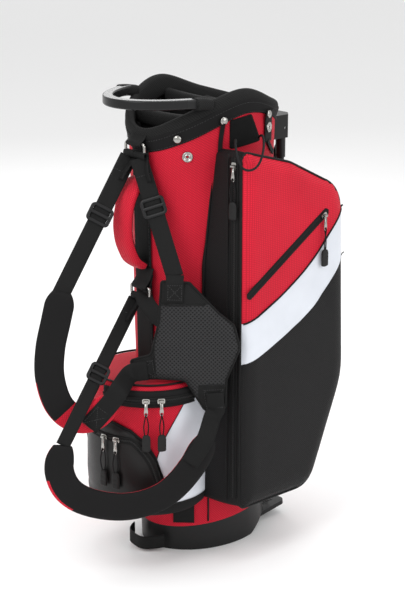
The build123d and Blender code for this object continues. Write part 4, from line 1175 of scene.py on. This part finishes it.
def stitched_box(name, at, corners, h, out, made=thread_grey):
    """Bar-tacked box with its cross, on a flat piece."""
    pts = [at(u, v, h) for u, v in corners]
    for i, (a, b) in enumerate(((0, 1), (1, 2), (2, 3), (3, 0), (0, 2), (1, 3))):
        stitches(f"{name}_{i}", [pts[a], pts[a].lerp(pts[b], 0.5), pts[b]], out, made,
                 pitch=3.6, length=2.6, radius=0.5)


stitched_box("box_top_arm", back_at, [(-48, 520), (-25, 520), (-26, 495), (-49, 495)], 14.9,
             back_out)
stitched_box("box_left_arm", back_at, [(-106, 355), (-72, 357), (-76, 386), (-108, 380)], 13.0,
             back_out)
stitched_box("box_low_arm", back_at, [(17, 301), (44, 304), (44, 336), (12, 334)], 13.0,
             back_out)


# ---------------------------------------------------------------- shoulder pads
def pad_strip(name, at, out, line, nodes, colours, pick):
    """Padded shoulder strap along a line on an upright plane."""
    points = smooth_line([at(s, z) for s, z in line], 5.0)
    return strap(name, points, out, 50.0, 13.0, colours, puff=1, pick=pick, nodes=nodes,
                 slot="red_fabric", taper=0.35)


outer_faces = 11              # faces 0 to 11 of a padded strap's section look outwards
edge_shows, turn_over = 30, 43


def upper_pick(i, j):
    """Black face first, with a red outer edge low down, red where the strap turns over."""
    if i >= turn_over:
        return 0
    return 0 if j > outer_faces or (i > edge_shows and j < 2) else 1


def lower_pick(i, j):
    """Black face; the red of the other side shows at the outer edge, left and right."""
    shows = 10 < i < 22 or i > 94
    return 0 if j > outer_faces or (shows and j < 3) else 1


upper_line = ((-251, 518), (-262, 470), (-273, 420), (-275, 370), (-262, 322), (-236, 296),
              (-205, 296), (-172, 324))
upper_pad = pad_strip("shoulder_pad_upper_cushion", upper_at, upper_out, upper_line,
                      ("shoulder_pad_upper",), [red_body, black_plain], upper_pick)
lower_line = ((-299, 268), (-306, 225), (-291, 186), (-255, 160), (-200, 145), (-150, 149),
              (-110, 168), (-74, 207), (-48, 256))
lower_pad = pad_strip("shoulder_pad_lower_cushion", lower_at, lower_out, lower_line,
                      ("shoulder_pad_lower",), [red_body, black_plain], lower_pick)

# ---------------------------------------------------------------- webbing
facing = Vector((0.74, -0.67, 0))
runs = (("webbing_upper", Vector((-12, -156.7, 723)), upper_at(-255, 500) + Vector((0, 0, 11)),
         30.0),
        ("webbing_back", Vector((14, -156.7, 723)), back_at(-37, 524, 6) + Vector((0, 0, 9)),
         30.0),
        ("webbing_lower", Vector((2, -158.7, 475)), lower_at(-299, 262) + Vector((0, 0, 6)),
         24.0))
for number, (name, start, end, width) in enumerate(runs):
    way = (end - start).normalized()
    line = [start.lerp(end, t / 60) for t in range(61)]
    obj = strap(name, line, facing, width, 2.0, webbing, slot="black_webbing",
                nodes=("harness_webbing",) if number == 0 else ())
    back = facing - way * facing.dot(way)
    back.normalize()
    loop = [start + Vector((0, 0, 0)), start + Vector((0, -0.3, 5)), start + Vector((0, 1, 9)),
            start + Vector((0, 4.5, 10.5)), start + Vector((0, 8, 8)),
            start + Vector((0, 8, 2)) + way * 2, start - back * 2.6 + way * 26,
            start - back * 2.4 + way * 44]
    strap(name + "_fold", smooth_line(loop, 3.0), Vector((0, -1, 0)), width - 1, 1.8, webbing,
          slot="black_webbing")
    spots = [start + way * 30 - back.cross(way) * (width / 2 - 3),
             start + way * 30 + back.cross(way) * (width / 2 - 3)]
    stitches(name + "_tack", [spots[0] + back * 1.2, spots[0].lerp(spots[1], 0.5) + back * 1.2,
                              spots[1] + back * 1.2], back, thread_grey, pitch=3.4, length=2.4)

arm_end = smooth_line([back_at(-37, 536, 6), back_at(-37, 526, 11.6), back_at(-37, 514, 13.7),
                       back_at(-38, 490, 13.6)], 4.0)
strap("webbing_back_end", arm_end, back_out, 30, 2.0, webbing, slot="black_webbing")

# slide adjusters: rounded frame, centre bar, and the webbing showing through the two windows
buckle_length, buckle_side = 34.0, 6.0
for number, share in enumerate((0.36, 0.33, 0.46), start=1):
    _, start, end, width = runs[number - 1]
    way = (end - start).normalized()
    face = (facing - way * facing.dot(way)).normalized()
    side = way.cross(face).normalized()
    middle = start + (end - start) * share + way * (buckle_length / 2)
    wide, long = width / 2 + buckle_side - 3, buckle_length / 2 - 3
    frame_line = [middle + side * q.x + way * q.y + face * 1.4 for q in rounded(
        ((-wide, -long), (wide, -long), (wide, long), (-wide, long)), [5] * 4, [8, 6, 8, 6])]
    store = ([], [], [], [])
    bar_line = [middle + side * (wide * t / 6) + face * 2.2 for t in range(-6, 7)]
    for line, closed in ((frame_line, True), (bar_line, False)):
        ways = tangents(line, closed)
        rings = []
        for q, run in zip(line, ways):
            across = run.cross(face).normalized()
            rings.append([q + across * (2.9 * squared(cos(a), 0.7))
                          + face * (2.5 * squared(sin(a), 0.7))
                          for a in [2 * pi * k / 16 for k in range(16)]])
        add_rows(store, rings + rings[:1] if closed else rings, 0)
    piece(f"slide_adjuster_{number}", *store[:3], black_plastic, f"buckle_{number}",
          nodes=(f"slide_buckle_{number}",), slot="black_plastic", picks=store[3])

# plated harness rings: round wire bent to a rounded oblong
ring_size = Vector((24.5, 8.5))
for number, (ring_x, ring_z) in enumerate(((0.0, 738.0), (10.0, 490.0)), start=1):
    outline = rounded([(-ring_size.x, -ring_size.y), (ring_size.x, -ring_size.y),
                       (ring_size.x, ring_size.y), (-ring_size.x, ring_size.y)],
                      [5] * 4, [10, 3, 10, 3])
    wire = tube(f"ring_wire_{number}", [Vector((ring_x + q.x, ring_y, ring_z + q.y))
                                        for q in outline], 2.4, nickel, closed=True, sides=14)
    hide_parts("harness_rings")

spine_line = [Vector((0, -half_y(z) - 1.3, z)) for z in np.linspace(352, 735, 60)]
strap("spine_band", spine_line, Vector((0, -1, 0)), 42.0, 2.0, webbing,
      nodes=("spine_webbing",), slot="black_webbing")
for side in (-1, 1):
    stitches(f"spine_stitch_{side + 1}", [p + Vector((side * 18, -1.2, 0)) for p in
                                          spine_line[::4]], Vector((0, -1, 0)), thread_grey)
ring_tab = [Vector((0, -139, 768)), Vector((0, -144, 760)), Vector((0, -150, 752)),
            Vector((0, -155.5, 749)), Vector((0, -157, 745)), Vector((0, -153, 742)),
            Vector((0, -148.8, 744)), Vector((0, -144, 740)), Vector((0, -141.5, 730))]
strap("ring_tab_upper", smooth_line(ring_tab, 3.0), Vector((0, -1, 0.3)), 38, 2.0, webbing,
      slot="black_webbing")
ring_tab = [Vector((10, -138.5, 530)), Vector((10, -146, 512)), Vector((10, -155, 502)),
            Vector((10, -157, 497)), Vector((10, -153, 494)), Vector((10, -149, 497)),
            Vector((10, -144, 505)), Vector((10, -140, 520))]
strap("ring_tab_lower", smooth_line(ring_tab, 3.0), Vector((0, -1, 0.3)), 38, 2.0, webbing,
      slot="black_webbing")
strap("webbing_under_pad", smooth_line([(22, -152, 488), (26, -158, 482), (48, -163, 468),
                                        (78, -160, 452), (100, -145, 440)], 5.0), facing, 30,
      2.0, webbing, slot="black_webbing")
join = [back_at(-84, 368, 13.5), back_at(-100, 366, 14), back_at(-114, 362, 18),
        upper_at(-158, 348, 6), upper_at(-170, 330, 8.5), upper_at(-190, 306, 8.5),
        upper_at(-212, 282, 8.5)]
strap("webbing_join", smooth_line(join, 4.0), facing, 34, 2.0, webbing, slot="black_webbing")
join = [back_at(30, 330, 13.5), back_at(32, 310, 13.5), back_at(33, 298, 12),
        Vector((150, -112, 288)), lower_at(-52, 262, 8.5), lower_at(-66, 236, 8.5),
        lower_at(-82, 214, 8.5)]
strap("webbing_foot", smooth_line(join, 4.0), facing, 30, 2.0, webbing, slot="black_webbing")
stitched_box("box_join", upper_at, [(-174, 300), (-196, 318), (-222, 290), (-200, 272)], 9.8,
             upper_out)

# ---------------------------------------------------------------- grab handle
handle_line = smooth_line([(0, -141, 686), (0, -155, 676), (0, -172, 655), (0, -181, 620),
                           (0, -180, 585), (0, -167, 552), (0, -152, 538), (0, -140, 532)],
                          5.0)
handle_out = [Vector((0, -1, 0))] * len(handle_line)
handle = strap("grab_handle_cushion", handle_line, handle_out, 43.0, 17.0,
               [red_body, black_plain], puff=1,
               pick=lambda i, j: 1 if 13 <= j <= 22 else 0, nodes=("grab_handle",),
               slot="red_fabric", taper=0.45)
for x in (-13, 13):
    channel = [Vector((x, p.y, p.z)) + (Vector((0, -6.4, 0.0)) +
               Vector((0, 0, 0.035 * (p.z - 608)))) for p in handle_line[3:-3]]
    tube(f"handle_channel_{x + 13}", channel, 0.9, thread_red)

# ---------------------------------------------------------------- collar's fastenings
rivet_profile = ((6.8, 0), (6.9, 0.8), (6.4, 1.7), (5.0, 2.6), (2.8, 3.2), (0.05, 3.4))
snap_profile = ((9.0, 0), (9.1, 1.0), (8.4, 1.8), (7.2, 2.0), (6.0, 1.3), (5.3, 0.6),
                (4.5, 0.6), (4.0, 1.6), (3.0, 1.8), (2.3, 0.7))
metal = ([], [], [], [])
for spots, profile, out in ((((-54, 758), (-20, 786), (23, 785)), rivet_profile, 6.6),
                            (((-46.5, 727), (26, 761)), snap_profile, 0.4)):
    for angle, z in spots:
        lift = out + (3.0 if (angle, z) == (26, 761) else 0.0)
        centre_spot = skin(angle, z, lift)
        facing_out = (skin(angle, z, lift + 1) - centre_spot).normalized()
        along = Vector((-facing_out.y, facing_out.x, 0))
        add_rows(metal, [[centre_spot + facing_out * h
                          + (along * cos(2 * pi * k / 32) + Vector((0, 0, 1))
                             * sin(2 * pi * k / 32)) * radius for k in range(32)]
                         for radius, h in profile], 0)
piece("rivets_and_snaps", *metal[:3], nickel, nodes=("collar_rivets_and_snaps",),
      slot="nickel", picks=metal[3])
for name, line, width in (
        ("rivet_tape", ((-20, 786, 6.2), (-20.5, 770, 2.6), (-21.5, 752, 2.0),
                        (-22, 734, 2.0)), 8.0),
        ("snap_tab", ((24, 790, 6.6), (25, 776, 3.6), (26, 760, 2.2), (26, 736, 2.2)), 26.0),
        ("snap_tab_tail", ((25, 738, 3.0), (31, 724, 2.4), (38, 712, 2.4)), 9.0)):
    spots = smooth_line([skin(*q) for q in line], 4.0)
    away = (skin(line[1][0], 760, 1) - skin(line[1][0], 760, 0)).normalized()
    strap(name, spots, away, width, 1.8, webbing, slot="black_webbing")
for side, name in ((1, "near"), (-1, "far")):
    line = [(side * 96.5, -104, 818.5), (side * 97, -90, 818), (side * 95, -72, 815)]
    strap("grip_sleeve_" + name, smooth_line(line, 4.0), Vector((0, 0, 1)), 24.0, 20.0,
          air_mesh, puff=1, slot="black_mesh")

# ---------------------------------------------------------------- glove patch, base webbing
low_panel = [skin(-52, z, 1.9) for z in np.linspace(150, 56, 20)]
strap("base_panel_webbing", low_panel, (skin(-52, 90, 1) - skin(-52, 90, 0)).normalized(), 38.0,
      2.0, webbing, slot="black_webbing")
tube("base_seam_piping", [skin(-30, float(z), 0.9) for z in np.linspace(56, 112, 16)], 1.6,
     piping)
patch_edge = rounded(((-34, 736), (38, 742), (12, 791), (-34, 785)), [4] * 4, [12, 9, 8, 9])


def on_skin(u, v, h):
    """Place on the body's +X side at y and z, standing out by h."""
    x = half_x(v) * sqrt(max(1 - (u / half_y(v)) ** 2, 0))
    return Vector((x + 0.8 + h, u, v))


cushion("glove_patch_pile", patch_edge, on_skin, lambda g, p: 0.7 + 0.4 * min(g, 2) / 2
        + 0.25 * soft_noise((p[0], p[1], 0), 2.0), lambda g, p: 0.0, [velour, velour],
        step=3.0, edge=0.5, nodes=("glove_patch",), slot="black_fabric")

loop = [(-44, -129, 18), (-38, -140, 18), (-26, -153.5, 18), (-6, -158.5, 17),
        (14, -159.5, 18), (28, -149, 19), (40, -127.5, 20)]
strap("umbrella_webbing", smooth_line(loop, 4.0), Vector((0, 0, 1)).cross(
    Vector((1, 0, 0))), 24, 2.2, webbing, nodes=("umbrella_loop",), slot="black_webbing")

# ---------------------------------------------------------------- finish
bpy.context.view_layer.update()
